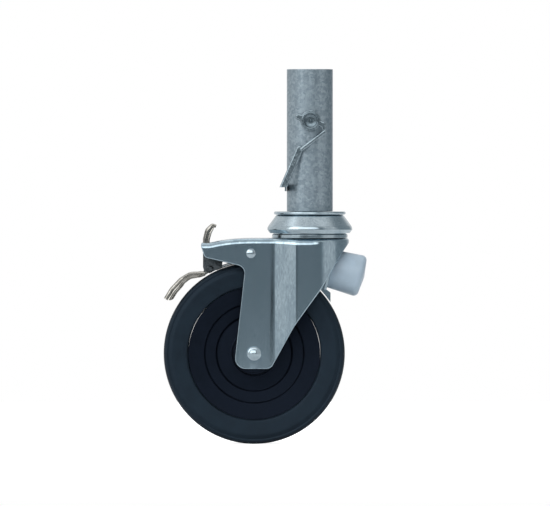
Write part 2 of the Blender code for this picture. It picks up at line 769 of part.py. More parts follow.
SLEEVE_D = HUB_BORE_D - 2 * (ROLLER_D + 2 * SEAT)


def axle_bolt():
    head_r, r = AXLE_HEAD_D / 2, AXLE_D / 2
    seat_y = -CHEEK_OUT_Y - SEAT
    face_y = seat_y - AXLE_HEAD_H
    end_y = CHEEK_OUT_Y + WASHER_T + AXLE_NUT_H + 0.0035
    profile = [(0.0, face_y), (0.0032, face_y), (0.0040, face_y + 0.0009), (0.0052, face_y + 0.0007)]
    profile += [(head_r - 0.0016, face_y + 0.0012), (head_r, face_y + 0.0028), (head_r, seat_y)]
    profile += [(r, seat_y), (r, end_y - 0.001), (r - 0.001, end_y), (0.0, end_y)]
    return along_y(lathe(profile, MEDIUM), AXLE_X, AXLE_Z)


def pivot_pin():
    head_r, r = PIVOT_HEAD_D / 2, PIVOT_PIN_D / 2
    seat_y = -CHEEK_OUT_Y - SEAT
    face_y = seat_y - PIVOT_HEAD_H
    end_y = CHEEK_OUT_Y + PIVOT_CLIP_T + 0.0015
    profile = [(0.0, face_y), (head_r - 0.001, face_y), (head_r, face_y + 0.001), (head_r, seat_y)]
    profile += [(r, seat_y), (r, end_y - 0.0006), (r - 0.0006, end_y), (0.0, end_y)]
    pin = along_y(lathe(profile, COARSE), PIVOT_X, PIVOT_Z)
    slot_half = 0.0006
    across = [(-head_r, -slot_half), (head_r, -slot_half), (head_r, slot_half), (-head_r, slot_half)]
    slot = prism([(2 * x, z) for x, z in across], face_y - 0.001, face_y + 0.001)
    turned = Matrix.Rotation(math.radians(12.0), 4, "Y")
    slot.transform(Matrix.Translation((PIVOT_X, 0.0, PIVOT_Z)) @ turned)
    return combine(pin, slot)


def over_axle(radius, degrees):
    """A point at a radius from the axle, at an angle from straight above it."""
    angle = math.radians(degrees)
    return (AXLE_X + radius * math.sin(angle), AXLE_Z + radius * math.cos(angle))


def along_tread(radius, start_deg, end_deg, steps):
    """Points round the axle, both ends included."""
    return [over_axle(radius, start_deg + (end_deg - start_deg) * i / steps) for i in range(steps + 1)]


ARM_R = WHEEL_D / 2 + RUN
CAM_X, CAM_Z = over_axle(ARM_R + ARM_T + SEAT + CAM_D / 2, CAM_DEG)
PEDAL_OUT_Y = PEDAL_IN_Y + PEDAL_T


def over_tread(points):
    """Points given by degrees and height over the tread, in X and Z."""
    return [(*over_axle(WHEEL_D / 2 + height, deg), *radius) for deg, height, *radius in points]


def cross_holes(bm, places):
    """Drill across the pedal at each (x, z, diameter)."""
    reach = 2 * PEDAL_OUT_Y
    tools = [along_y(rod(d + 2 * SEAT, -reach, reach, 10), x, z) for x, z, d in places]
    return cut_all(bm, tools)


def pedal_cheek(low_y):
    """One side plate of the pedal, from its pin forward, its lower edge along the tread."""
    near, far = CHEEK_ARC_DEG
    reach = WHEEL_D / 2 + CHEEK_CLEAR
    tread = [(x, z, 0.0) for x, z in along_tread(reach, near, far, 3)]
    corners = [(PIVOT_X + PEDAL_END_HALF, PIVOT_Z - PEDAL_END_HALF, PEDAL_END_R)]
    corners += over_tread(CHEEK_UNDER) + tread + over_tread(CHEEK_FRONT)
    corners += [(CHEEK_TOP_X, CHEEK_TOP_Z, 0.006)]
    corners += [(PIVOT_X + PEDAL_END_HALF, PIVOT_Z + PEDAL_END_HALF, PEDAL_END_R)]
    bm = prism(rounded(corners), low_y, low_y + PEDAL_T)
    holes = [(PIVOT_X, PIVOT_Z, PIVOT_PIN_D), (CAM_X, CAM_Z, CAM_TENON_D)]
    return cross_holes(bm, holes + [(x, z, RIVET_D) for x, z in over_tread(FINGER_RIVET + FOOT_RIVET)])


def foot_plate():
    """The lever that is trodden on: a wide channel with a tongue between the cheeks."""
    top, under = over_tread(FOOT_TOP), over_tread(FOOT_UNDER)
    bm = prism(rounded(top + under), -FOOT_HALF_Y, FOOT_HALF_Y)
    roof = rounded(shifted(top[:-1], -FOOT_T), closed=False)
    (rear_x, rear_z), (tip_x, tip_z) = roof[0], roof[-1]
    deep = 4 * FOOT_T
    hollow = [(rear_x + deep, rear_z)] + roof
    hollow += [(tip_x + deep / 2, tip_z - deep), (rear_x + deep, tip_z - deep)]
    inner = FOOT_HALF_Y - FOOT_T
    bm = combine(bm, prism(hollow, -inner, inner))
    half = PEDAL_IN_Y - SEAT
    tongue = prism(rounded(over_tread(TONGUE)), -half, half)
    inside = prism(rounded(over_tread(TONGUE_HOLLOW)), FOOT_T - half, half - FOOT_T)
    bm = combine(bm, combine(tongue, inside), "UNION")
    return cross_holes(bm, [(x, z, RIVET_D) for x, z in over_tread(FOOT_RIVET)])


def release_finger():
    """The upper lever that is kicked to let the brake go, a channel with a bead in each side."""
    half = PEDAL_IN_Y - SEAT
    front = over_tread(FINGER_FRONT)
    bm = prism(rounded(front + over_tread(FINGER_BACK)), -half, half)
    behind = rounded(shifted(front, FINGER_T), closed=False)
    (low_x, low_z), (tip_x, tip_z) = behind[0], behind[-1]
    end_x, end_z = tip_x + 0.004, low_z - 0.004
    channel = [(low_x, end_z)] + behind[1:-1] + [(end_x, tip_z), (end_x, end_z)]
    tools = [prism(channel, -half + FINGER_T, half - FINGER_T)]
    for side in (-1.0, 1.0):
        low, high = sorted((side * (half - FINGER_BEAD_DEPTH), side * 2 * half))
        tools.append(strip(*over_tread(FINGER_BEAD), FINGER_BEAD_W, low, high, 4))
    return cross_holes(cut_all(bm, tools), [(x, z, RIVET_D) for x, z in over_tread(FINGER_RIVET)])


def rivet(place, grip_half):
    """A rivet across the pedal with a head outside each plate."""
    r, head_r = RIVET_D / 2, RIVET_HEAD_D / 2
    low, high = -grip_half - SEAT, grip_half + SEAT
    profile = [(0.0, low - RIVET_HEAD_H), (head_r * 0.6, low - RIVET_HEAD_H)]
    profile += [(head_r, low - RIVET_HEAD_H * 0.35), (head_r, low), (r, low)]
    profile += [(a, -b) for a, b in reversed(profile)]
    return along_y(lathe(profile, 12), *place)


def cam_bar():
    """The bar between the pedal's cheeks that bears on the brake arm."""
    r, tenon_r = CAM_D / 2, CAM_TENON_D / 2
    shoulder = PEDAL_IN_Y - SEAT
    end = PEDAL_OUT_Y
    half = [(r, shoulder), (tenon_r, shoulder), (tenon_r, end), (0.0, end)]
    profile = [(a, -b) for a, b in reversed(half)] + half
    return along_y(lathe(profile, 12), CAM_X, CAM_Z)


CAP_SLOPE = math.tan(math.radians(CAP_TILT_DEG))
ARM_PIVOT_X = LUG_X + ARM_T / 2
ARM_PIVOT_Z = CAP_END_Z + (CAP_END_X - ARM_PIVOT_X) * CAP_SLOPE


def brake_arm():
    """A strip bent to the tread, with a lug at its back end for the adjuster rod."""
    outer_r = ARM_R + ARM_T
    lug_back = LUG_X + ARM_T
    rear = math.degrees(math.asin((lug_back - AXLE_X) / ARM_R))
    meet = math.degrees(math.asin((LUG_X - AXLE_X) / outer_r))
    steps = 16
    under = along_tread(ARM_R, ARM_FRONT_DEG, rear, steps)
    over = along_tread(outer_r, meet, ARM_FRONT_DEG, steps)
    outline = under + [(lug_back, LUG_TOP_Z), (LUG_X, LUG_TOP_Z)] + over
    bm = prism(outline, -ARM_HALF_Y, ARM_HALF_Y)
    hole = cap_axis(rod(ROD_D + 0.002, on_cap_axis(LUG_X - 0.01), on_cap_axis(LUG_X + 0.01), 16))
    return combine(bm, hole)


def rear_bracket():
    """The plate across the fork that the cap stands on, with a tail down behind the tyre."""
    tilt = math.radians(CAP_TILT_DEG)
    up = Vector((math.sin(tilt), math.cos(tilt)))
    base = Vector((BRACKET_X, CAP_END_Z + (CAP_END_X - BRACKET_X) * CAP_SLOPE))
    top = base + up * BRACKET_RISE
    over = base - Vector((AXLE_X, AXLE_Z))
    rise = over.dot(up)
    bend_r = WHEEL_D / 2 + BRACKET_BEND_R
    bend = base - up * (rise - math.sqrt(bend_r ** 2 - over.length_squared + rise ** 2))
    tail_top = bend + Vector((BRACKET_TAIL_OUT, -BRACKET_BEND_H))
    tail_end = tail_top - Vector((0.0, BRACKET_TAIL_H))
    back = [(*top, 0.0), (*bend, 0.0015), (*tail_top, 0.002), (*tail_end, 0.0)]
    front = shifted(back, BRACKET_T)
    outline = rounded(back, closed=False) + list(reversed(rounded(front, closed=False)))
    bm = prism(outline, -NOSE_R, NOSE_R)
    half = fork_half_plan(FORK_T + SEAT, FORK_FRONT_X)
    plan = [(x, -y) for x, y in half] + [(x, y) for x, y in reversed(half[:-1])]
    inside = prism(plan, tail_end.y, -tail_end.y)
    inside.transform(lay_flat(base.y))
    bm = combine(bm, inside, "INTERSECT")
    below = tail_end.y - BRACKET_T
    cutter = [(0.0, bend.y), (2 * tail_end.x, bend.y), (2 * tail_end.x, below), (0.0, below)]
    for side in (-1.0, 1.0):
        low, high = sorted((side * BRACKET_TAIL_HALF_Y, side * 2 * NOSE_R))
        bm = combine(bm, prism(cutter, low, high))
    mid = Vector((BRACKET_T / 2, 0.0))
    front_x = bend.x - GUSSET_FRONT
    gusset = [bend + up * GUSSET_RISE - mid, bend - mid, tail_top - mid, tail_end - mid]
    gusset += [(front_x, tail_end.y), (front_x, bend.y + GUSSET_TOP)]
    for side in (-1.0, 1.0):
        low, high = sorted((side * (BRACKET_TAIL_HALF_Y - BRACKET_T), side * BRACKET_TAIL_HALF_Y))
        bm = combine(bm, prism(gusset, low, high), "UNION")
    tread_d = WHEEL_D + 2 * BRACKET_CLEAR
    bm = combine(bm, along_y(rod(tread_d, -TYRE_W, TYRE_W, 72), AXLE_X, AXLE_Z))
    near, far = on_cap_axis(BRACKET_X) - 4 * BRACKET_T, on_cap_axis(BRACKET_X) + 4 * BRACKET_T
    return combine(bm, cap_axis(rod(ROD_D + 4 * SEAT, near, far, COARSE)))


CAP_ROOT_T = on_cap_axis(BRACKET_X) + SEAT
WASHER_BACK_T = -CAP_WALL - CAP_CROWN - CAP_END_ROOM - ROD_NUT_H


def adjuster_rod():
    """The bolt on the cap's axis, which holds the brake arm's lug against the spring."""
    corner_r = ROD_HEAD_AF / math.sqrt(3.0)
    head_back = on_cap_axis(LUG_X) - corner_r * CAP_SLOPE - SEAT
    head = hexagon(ROD_HEAD_AF, head_back - ROD_HEAD_H, head_back, 30.0)
    shank = rod(ROD_D, head_back - ROD_HEAD_H / 2, WASHER_BACK_T + ROD_NUT_H + 0.002, COARSE, 0.0006)
    return cap_axis(combine(head, shank, "UNION"))


def brake_spring():
    """A coil spring round the adjuster rod, between the bracket and its washer."""
    wire_r = SPRING_WIRE_D / 2
    start = CAP_ROOT_T + wire_r
    end = WASHER_BACK_T - SPRING_WASHER_T - SEAT - wire_r
    per_turn, sides = 10, 5
    count = per_turn * SPRING_TURNS
    bm = bmesh.new()
    rings = []
    for i in range(count + 1):
        turn = 2.0 * math.pi * i / per_turn
        out = Vector((math.cos(turn), math.sin(turn), 0.0))
        centre = out * SPRING_R + Vector((0.0, 0.0, start + (end - start) * i / count))
        ring = []
        for k in range(sides):
            a = 2.0 * math.pi * k / sides
            lift = Vector((0.0, 0.0, wire_r * math.sin(a)))
            ring.append(bm.verts.new(centre + out * wire_r * math.cos(a) + lift))
        rings.append(ring)
    for low, high in zip(rings, rings[1:]):
        for k in range(sides):
            n = (k + 1) % sides
            bm.faces.new([low[k], low[n], high[n], high[k]])
    bm.faces.new(list(reversed(rings[0])))
    bm.faces.new(rings[-1])
    return cap_axis(bm)


def spring_cap():
    """A moulded cup over the spring, slightly wider and bulged at its closed end."""
    outer = [(0.0, 0.0, 0.0), (CAP_D / 2, -CAP_CROWN, CAP_EDGE_R), (CAP_ROOT_D / 2, CAP_ROOT_T, 0.0)]
    inner = [(CAP_ROOT_D / 2 - CAP_WALL, CAP_ROOT_T, 0.0)]
    inner += [(CAP_D / 2 - CAP_WALL, -CAP_CROWN - CAP_WALL, CAP_EDGE_R - CAP_WALL), (0.0, -CAP_WALL, 0.0)]
    profile = rounded(outer, closed=False) + rounded(inner, closed=False, step_deg=45.0)
    return cap_axis(lathe(profile, 26))


LATCH_BACK_Y = -TUBE_D / 2 - SEAT
LATCH_FRONT_Y = LATCH_BACK_Y - LATCH_T


def lock_pin():
    """The pin through the stem, with a dished head."""
    r, head_r = LOCK_PIN_D / 2, LOCK_HEAD_D / 2
    seat_y = LATCH_FRONT_Y - SEAT
    face_y = seat_y - LOCK_HEAD_H
    end_y = TUBE_D / 2 + LOCK_PIN_TAIL
    profile = [(0.0, face_y + 0.0008), (0.0016, face_y + 0.0010), (0.0024, face_y + 0.0020)]
    profile += [(head_r - 0.0030, face_y + 0.0020), (head_r - 0.0018, face_y), (head_r - 0.0008, face_y)]
    profile += [(head_r, face_y + 0.0008), (head_r, seat_y), (r, seat_y)]
    profile += [(r, end_y - 0.002), (r - 0.002, end_y), (0.0, end_y)]
    return along_y(lathe(profile, MEDIUM), LOCK_X, LOCK_Z)


def strip(start, end, width, low_y, high_y, end_steps=6):
    """A flat bar with round ends, between two points of the XZ plane."""
    p, q = Vector(start), Vector(end)
    lean = math.degrees(math.atan2(q.y - p.y, q.x - p.x))
    outline = arc(p, width / 2, lean + 90.0, lean + 270.0, end_steps)
    outline += arc(q, width / 2, lean - 90.0, lean + 90.0, end_steps)
    return prism(outline, low_y, high_y)


def latch():
    """A flat keeper that hangs on the lock pin, its bent end leaning on the tube's side."""
    eye = (LOCK_X, LOCK_Z)
    bm = along_y(rod(LATCH_EYE_D, LATCH_FRONT_Y, LATCH_BACK_Y, MEDIUM), *eye)
    for bar in (LATCH_EARS, LATCH_LINK, LATCH_HANDLE):
        bm = combine(bm, strip(*bar, LATCH_FRONT_Y, LATCH_BACK_Y), "UNION")
    bm = combine(bm, strip(*LATCH_BAR, LATCH_BACK_Y - LATCH_BAR_T, LATCH_BACK_Y), "UNION")
    tab_x = -TUBE_D / 2 - SEAT
    low_z, high_z = LATCH_TAB_LOW_Z, LATCH_TAB_HIGH_Z
    tab = [(tab_x - LATCH_T, low_z), (tab_x, low_z), (tab_x, high_z), (tab_x - LATCH_T, high_z)]
    bm = combine(bm, prism(tab, LATCH_FRONT_Y, LATCH_TAB_Y), "UNION")
    return combine(bm, along_y(rod(LOCK_PIN_D + 2 * SEAT, -TUBE_D, TUBE_D, COARSE), *eye))


GALVANISED = ((0.27, 0.34, 0.38), 0.50)
BRIGHT_ZINC = ((0.46, 0.53, 0.57), 0.28)
SHEET_ZINC = ((0.30, 0.36, 0.40), 0.34)
NICKELLED = ((0.55, 0.52, 0.47), 0.30)
DARK_STEEL = ((0.10, 0.11, 0.11), 0.40)
BALL_STEEL = ((0.55, 0.56, 0.58), 0.15)
BLACK_RUBBER = ((0.012, 0.018, 0.022), 0.55, 0.0)
BLACK_MOULDED = ((0.010, 0.014, 0.020), 0.45, 0.0)
WHITE_MOULDED = ((0.42, 0.50, 0.56), 0.45, 0.0)


def build_stem(body):
    cup = rounded(cup_path(), closed=False, step_deg=40.0)
    cup += reversed(rounded(shifted(cup_path(), CUP_T), closed=False, step_deg=60.0))
    piece("stem_tube", stem_tube(), GALVANISED, body)
    piece("stem_flange", stem_flange(), BRIGHT_ZINC, body)
    piece("swivel_cup", lathe(cup, FINE), BRIGHT_ZINC, body)
    piece("kingpin", kingpin(), SHEET_ZINC, body)
    nut = hex_nut(KINGPIN_NUT_AF, KINGPIN_HOLE_D, NUT_TOP_Z - KINGPIN_NUT_H, NUT_TOP_Z)
    piece("kingpin_nut", nut, BRIGHT_ZINC, body)
    piece("lower_race", lower_race(), SHEET_ZINC, body)


def build_fork(body):
    piece("fork", fork(), SHEET_ZINC, body)
    piece("neck_ring", neck_ring(), BRIGHT_ZINC, body)
    upper = ball_ring(UPPER_BALL_PITCH_R, upper_ball_z(), UPPER_BALL_D, UPPER_BALL_COUNT, 6)
    lower = ball_ring(LOWER_BALL_PITCH_R, LOWER_BALL_Z, LOWER_BALL_D, LOWER_BALL_COUNT, 6)
    piece("upper_balls", upper, BALL_STEEL, body, 60.0)
    piece("lower_balls", lower, BALL_STEEL, body, 60.0)
    build_axle(body)
    build_pivot(body)
    build_adjuster(body)


def build_axle(body):
    washer_y = CHEEK_OUT_Y + SEAT
    nut_y = washer_y + WASHER_T + SEAT
    sleeve_y = CHEEK_IN_Y - SEAT
    piece("axle_bolt", axle_bolt(), BRIGHT_ZINC, body)
    washer = tube(WASHER_D, SLEEVE_BORE_D, washer_y, washer_y + WASHER_T, MEDIUM)
    piece("axle_washer", along_y(washer, AXLE_X, AXLE_Z), BRIGHT_ZINC, body)
    nut = hex_nut(AXLE_NUT_AF, SLEEVE_BORE_D, nut_y, nut_y + AXLE_NUT_H)
    piece("axle_nut", along_y(nut, AXLE_X, AXLE_Z), BRIGHT_ZINC, body)
    sleeve = tube(SLEEVE_D, SLEEVE_BORE_D, -sleeve_y, sleeve_y, COARSE)
    piece("axle_sleeve", along_y(sleeve, AXLE_X, AXLE_Z), SHEET_ZINC, body)
    for name, side in (("thrust_washer_near", -1.0), ("thrust_washer_far", 1.0)):
        low, high = sorted((side * (HUB_W / 2 + SEAT), side * sleeve_y))
        ring = tube(THRUST_WASHER_D, SLEEVE_D + 2 * SEAT, low, high, COARSE)
        piece(name, along_y(ring, AXLE_X, AXLE_Z), BLACK_MOULDED, body)


def build_pivot(body):
    hole_d = PIVOT_PIN_D + 2 * SEAT
    clip_y = CHEEK_OUT_Y + SEAT
    piece("pivot_pin", pivot_pin(), BRIGHT_ZINC, body)
    clip = tube(PIVOT_CLIP_D, hole_d, clip_y, clip_y + PIVOT_CLIP_T, COARSE)
    piece("pivot_clip", along_y(clip, PIVOT_X, PIVOT_Z), BRIGHT_ZINC, body)
    for name, side in (("pivot_bush_near", -1.0), ("pivot_bush_far", 1.0)):
        low, high = sorted((side * (PEDAL_OUT_Y + SEAT), side * (CHEEK_IN_Y - SEAT)))
        bush = tube(PIVOT_BUSH_D, hole_d, low, high, COARSE)
        piece(name, along_y(bush, PIVOT_X, PIVOT_Z), SHEET_ZINC, body)


def build_adjuster(body):
    bore_d = ROD_D + 2 * SEAT
    piece("rear_bracket", rear_bracket(), SHEET_ZINC, body)
    piece("adjuster_rod", adjuster_rod(), BRIGHT_ZINC, body)
    washer_d = 2 * SPRING_R + 2.3 * SPRING_WIRE_D
    washer = tube(washer_d, bore_d, WASHER_BACK_T - SPRING_WASHER_T, WASHER_BACK_T - SEAT, MEDIUM)
    piece("spring_washer", cap_axis(washer), BRIGHT_ZINC, body)
    nut = hex_nut(ROD_HEAD_AF, bore_d, WASHER_BACK_T, WASHER_BACK_T + ROD_NUT_H)
    piece("adjuster_nut", cap_axis(nut), BRIGHT_ZINC, body)
    piece("brake_spring", brake_spring(), DARK_STEEL, body, 60.0)
    piece("spring_cap", spring_cap(), WHITE_MOULDED, body)


def build_wheel(body):
    piece("tyre", tyre(), BLACK_RUBBER, body)
    piece("wheel_core", wheel_core(), BLACK_MOULDED, body, 30.0)
    piece("roller_bearing", roller_bearing(), BALL_STEEL, body)


def build_pedal(body):
    piece("pedal_cheek_near", pedal_cheek(-PEDAL_OUT_Y), DARK_STEEL, body)
    piece("pedal_cheek_far", pedal_cheek(PEDAL_IN_Y), DARK_STEEL, body)
    piece("foot_plate", foot_plate(), NICKELLED, body)
    piece("release_finger", release_finger(), NICKELLED, body)
    piece("finger_rivet", rivet(*over_tread(FINGER_RIVET), PEDAL_OUT_Y), DARK_STEEL, body)
    piece("foot_rivet", rivet(*over_tread(FOOT_RIVET), PEDAL_OUT_Y), DARK_STEEL, body)
    piece("cam_bar", cam_bar(), BRIGHT_ZINC, body)


def main():
    clear_scene()
    stem = pivot("stem_frame", (0.0, 0.0, 0.0))
    swivel = pivot("swivel_axis", (0.0, 0.0, 0.0), stem)
    axle = pivot("wheel_axis", (AXLE_X, 0.0, AXLE_Z), swivel)
    pedal = pivot("pedal_axis", (PIVOT_X, 0.0, PIVOT_Z), swivel)
    arm = pivot("brake_arm_axis", (ARM_PIVOT_X, 0.0, ARM_PIVOT_Z), swivel)
    lock = pivot("lock_pin_axis", (LOCK_X, 0.0, LOCK_Z), stem)
    keeper = pivot("latch_axis", (LOCK_X, 0.0, LOCK_Z), lock)
    build_stem(stem)
    build_fork(swivel)
    build_wheel(axle)
    build_pedal(pedal)
    piece("brake_arm", brake_arm(), BRIGHT_ZINC, arm)
    piece("lock_pin", lock_pin(), GALVANISED, lock)
    piece("latch", latch(), GALVANISED, keeper)


main()
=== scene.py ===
# %% [markdown]
# # A scaffold castor
# A steel tube drops into the leg of a scaffold tower and carries a swivel head,
# a fork pressed from 4 mm sheet and a braked 200 mm wheel.
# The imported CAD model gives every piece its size, place and joint, so this
# lesson only dresses it: finer meshes, finishes, a camera and light.

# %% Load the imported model
import json
import math

import bmesh
import bpy
from mathutils import Matrix, Vector

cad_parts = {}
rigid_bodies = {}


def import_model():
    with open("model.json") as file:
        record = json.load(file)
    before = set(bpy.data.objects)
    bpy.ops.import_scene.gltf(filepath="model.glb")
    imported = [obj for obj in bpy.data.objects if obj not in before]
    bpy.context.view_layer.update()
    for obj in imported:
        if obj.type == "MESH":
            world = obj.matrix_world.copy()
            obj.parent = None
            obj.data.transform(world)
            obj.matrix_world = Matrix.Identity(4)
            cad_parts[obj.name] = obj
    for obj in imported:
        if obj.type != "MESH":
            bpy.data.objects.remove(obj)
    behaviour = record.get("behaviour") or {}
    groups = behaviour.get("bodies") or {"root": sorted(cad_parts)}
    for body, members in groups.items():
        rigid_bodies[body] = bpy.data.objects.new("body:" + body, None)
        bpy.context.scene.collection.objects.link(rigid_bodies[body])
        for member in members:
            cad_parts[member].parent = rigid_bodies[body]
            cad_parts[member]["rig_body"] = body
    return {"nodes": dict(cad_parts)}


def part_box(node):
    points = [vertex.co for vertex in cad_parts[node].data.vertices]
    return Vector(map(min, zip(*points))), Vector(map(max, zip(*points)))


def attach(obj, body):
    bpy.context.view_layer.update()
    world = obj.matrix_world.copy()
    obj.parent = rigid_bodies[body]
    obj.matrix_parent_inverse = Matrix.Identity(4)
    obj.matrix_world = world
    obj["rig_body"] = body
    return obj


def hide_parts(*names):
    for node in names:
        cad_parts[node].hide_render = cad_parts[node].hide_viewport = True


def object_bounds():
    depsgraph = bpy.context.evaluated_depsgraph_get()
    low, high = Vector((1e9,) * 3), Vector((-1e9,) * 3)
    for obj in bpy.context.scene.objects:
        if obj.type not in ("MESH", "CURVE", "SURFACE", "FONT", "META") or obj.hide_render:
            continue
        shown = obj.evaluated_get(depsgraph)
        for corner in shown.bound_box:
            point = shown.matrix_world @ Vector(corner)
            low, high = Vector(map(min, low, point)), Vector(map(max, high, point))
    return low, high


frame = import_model()
cad_box = [list(corner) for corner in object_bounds()]
nodes = frame["nodes"]


# %% [markdown]
# ## Camera
# The photograph was taken from far away with a long lens, level with the
# castor, so circles stay circles and the axle points at the lens.
# A perspective camera ten metres away gives the same flat look and can still
# be moved round the castor for other views.

# %% Place the camera
FIELD_W = 0.6083                       # metres that the picture's width covers
VIEW_TARGET = Vector((-0.0385, 0.0, -0.0460))
VIEW_DISTANCE = 10.0
VIEW_RISE_DEG = 0.7
SENSOR_W = 36.0

rise = math.radians(VIEW_RISE_DEG)
camera_data = bpy.data.cameras.new("long_lens")
camera_data.sensor_width = SENSOR_W
camera_data.lens = SENSOR_W * VIEW_DISTANCE / FIELD_W
camera = bpy.data.objects.new("long_lens", camera_data)
bpy.context.scene.collection.objects.link(camera)
camera.location = VIEW_TARGET + VIEW_DISTANCE * Vector((0.0, -math.cos(rise), math.sin(rise)))
camera.rotation_euler = (math.pi / 2 - rise, 0.0, 0.0)
bpy.context.scene.camera = camera
bpy.context.scene.view_settings.view_transform = "Standard"
print("lens:", round(camera_data.lens), "mm")


# %% [markdown]
# ## Two small tools for materials
# Colours are written as the sRGB hex values that a colour picker shows, and
# Blender mixes light in linear values, so one function turns the first into
# the second. The other adds a node, sets it and wires it in one line.

# %% Colour and node helpers
def linear(code, alpha=1.0):
    """An sRGB hex colour as linear red, green, blue and alpha."""
    channels = [int(code[i:i + 2], 16) / 255 for i in (0, 2, 4)]
    values = [c / 12.92 if c <= 0.04045 else ((c + 0.055) / 1.055) ** 2.4 for c in channels]
    return (*values, alpha)


def add_node(tree, kind, inputs=None, **settings):
    """Add a node; an input given as a socket is linked and any other is set."""
    made = tree.nodes.new(kind)
    for name, value in settings.items():
        setattr(made, name, value)
    for key, value in (inputs or {}).items():
        if isinstance(value, bpy.types.NodeSocket):
            tree.links.new(value, made.inputs[key])
        else:
            made.inputs[key].default_value = value
    return made


def new_material(name):
    """An empty material and its tree, with the output and the shader joined."""
    material = bpy.data.materials.new(name)
    material.use_nodes = True
    tree = material.node_tree
    tree.nodes.clear()
    shader = add_node(tree, "ShaderNodeBsdfPrincipled")
    add_node(tree, "ShaderNodeOutputMaterial", {"Surface": shader.outputs["BSDF"]})
    return material, tree, shader


print("hex 808080 in linear light:", round(linear("808080")[0], 3))


# %% [markdown]
# ## Floor and background
# The castor stands on a plain white floor in front of white. The floor adds
# just enough white of its own, for the camera only, to reach paper white, so
# it doesn't brighten the metal and it still shows the soft shadow under the
# tyre. It ends a little way in front of the castor, as a paper sweep does,
# so the metal mirrors the dim room behind the camera and not more paper.

# %% Make the floor
FLOOR_Z = cad_box[0][2]
FLOOR_R = 1.6                          # its front edge is the end of the sweep
FLOOR_LIFT = 0.8                       # white added for the camera's rays only
PAPER = "e8e9ea"

floor_mesh = bpy.data.meshes.new("white_floor")
bm = bmesh.new()
bmesh.ops.create_circle(bm, cap_ends=True, segments=96, radius=FLOOR_R)
bm.transform(Matrix.Translation((0.0, 0.0, FLOOR_Z)))
bm.to_mesh(floor_mesh)
bm.free()
floor = bpy.data.objects.new("white_floor", floor_mesh)
bpy.context.scene.collection.objects.link(floor)

floor_material = bpy.data.materials.new("white_paper_floor")
floor_material.use_nodes = True
tree = floor_material.node_tree
tree.nodes.clear()
ray = add_node(tree, "ShaderNodeLightPath")
lift = add_node(tree, "ShaderNodeMath", {0: ray.outputs["Is Camera Ray"], 1: FLOOR_LIFT},
                operation="MULTIPLY")
paper = add_node(tree, "ShaderNodeBsdfDiffuse", {"Color": linear(PAPER)})
glow = add_node(tree, "ShaderNodeEmission", {"Color": linear("ffffff"), "Strength": lift.outputs[0]})
both = add_node(tree, "ShaderNodeAddShader", {0: paper.outputs[0], 1: glow.outputs[0]})
add_node(tree, "ShaderNodeOutputMaterial", {"Surface": both.outputs[0]})
floor_mesh.materials.append(floor_material)
print("floor at", round(FLOOR_Z, 4), "m, radius", FLOOR_R, "m")


# %% [markdown]
# ## Light
# Zinc shows what stands round it more than its own colour, so the room is
# painted on the world by direction: azimuth is zero behind the camera and
# positive to its right, height is zero at eye level. Behind the camera the
# room is dim, which is why the flat cheek of the fork looks dark. A bright
# wall on each side draws the two upright bands on the fork, and a darker
# doorway beside the left wall draws the thin line along the first band. A
# lamp strip above the camera draws the white line along the crown's edge, and
# a grey ceiling lights the rims. Dim parts of the room are a little bluer than
# bright ones. The camera itself sees plain white behind it all.

# %% Panels of the room
ROOM_LEVEL = 0.25
BRIGHT_LEVEL = 0.7                     # from here up the room is white
DIM_TINT, BRIGHT_TINT = "e6f6ff", "ffffff"
# name, azimuth from and to, height from and to, softness of the edge, light added
PANELS = [
    ("left_wall", -150.0, -31.0, -30.0, 62.0, 3.0, 0.54),
    ("dark_doorway", -26.0, -6.0, -30.0, 8.0, 5.0, -0.10),
    ("right_wall", 39.0, 82.0, -30.0, 50.0, 7.0, 0.48),
    ("right_far_wall", 82.0, 150.0, -30.0, 50.0, 9.0, 0.12),
    ("lamp_strip", -62.0, 22.0, 9.0, 45.0, 3.0, 1.85),
    ("ceiling", -180.0, 180.0, 52.0, 90.0, 9.0, 0.62),
    ("paper_behind_left", -180.0, -150.0, -90.0, 84.0, 12.0, 0.60),
    ("paper_behind_right", 150.0, 180.0, -90.0, 84.0, 12.0, 0.60),
]
print("panels:", [panel[0] for panel in PANELS])

# %% Angles for the world's directions
world = bpy.data.worlds.new("studio")
bpy.context.scene.world = world
world.use_nodes = True
tree = world.node_tree
tree.nodes.clear()
place = add_node(tree, "ShaderNodeTexCoord")
axes = add_node(tree, "ShaderNodeSeparateXYZ", {"Vector": place.outputs["Generated"]})
toward = add_node(tree, "ShaderNodeMath", {0: axes.outputs["Y"], 1: -1.0}, operation="MULTIPLY")
turn = add_node(tree, "ShaderNodeMath", {0: axes.outputs["X"], 1: toward.outputs[0]}, operation="ARCTAN2")
azimuth = add_node(tree, "ShaderNodeMath", {0: turn.outputs[0]}, operation="DEGREES")
tilt = add_node(tree, "ShaderNodeMath", {0: axes.outputs["Z"]}, operation="ARCSINE")
height = add_node(tree, "ShaderNodeMath", {0: tilt.outputs[0]}, operation="DEGREES")


def within(value, low, high, soft):
    """One between two angles and zero outside, with a soft edge."""
    rising = add_node(tree, "ShaderNodeMapRange",
                      {"Value": value, "From Min": low - soft, "From Max": low + soft},
                      interpolation_type="SMOOTHSTEP")
    falling = add_node(tree, "ShaderNodeMapRange",
                       {"Value": value, "From Min": high - soft, "From Max": high + soft,
                        "To Min": 1.0, "To Max": 0.0}, interpolation_type="SMOOTHSTEP")
    both = add_node(tree, "ShaderNodeMath", {0: rising.outputs[0], 1: falling.outputs[0]},
                    operation="MULTIPLY")
    return both.outputs[0]


print("nodes that turn a direction into two angles:", len(tree.nodes))

# %% Paint the room
NO_EDGE = 400.0                        # degrees, past any angle, so nothing fades at the seam

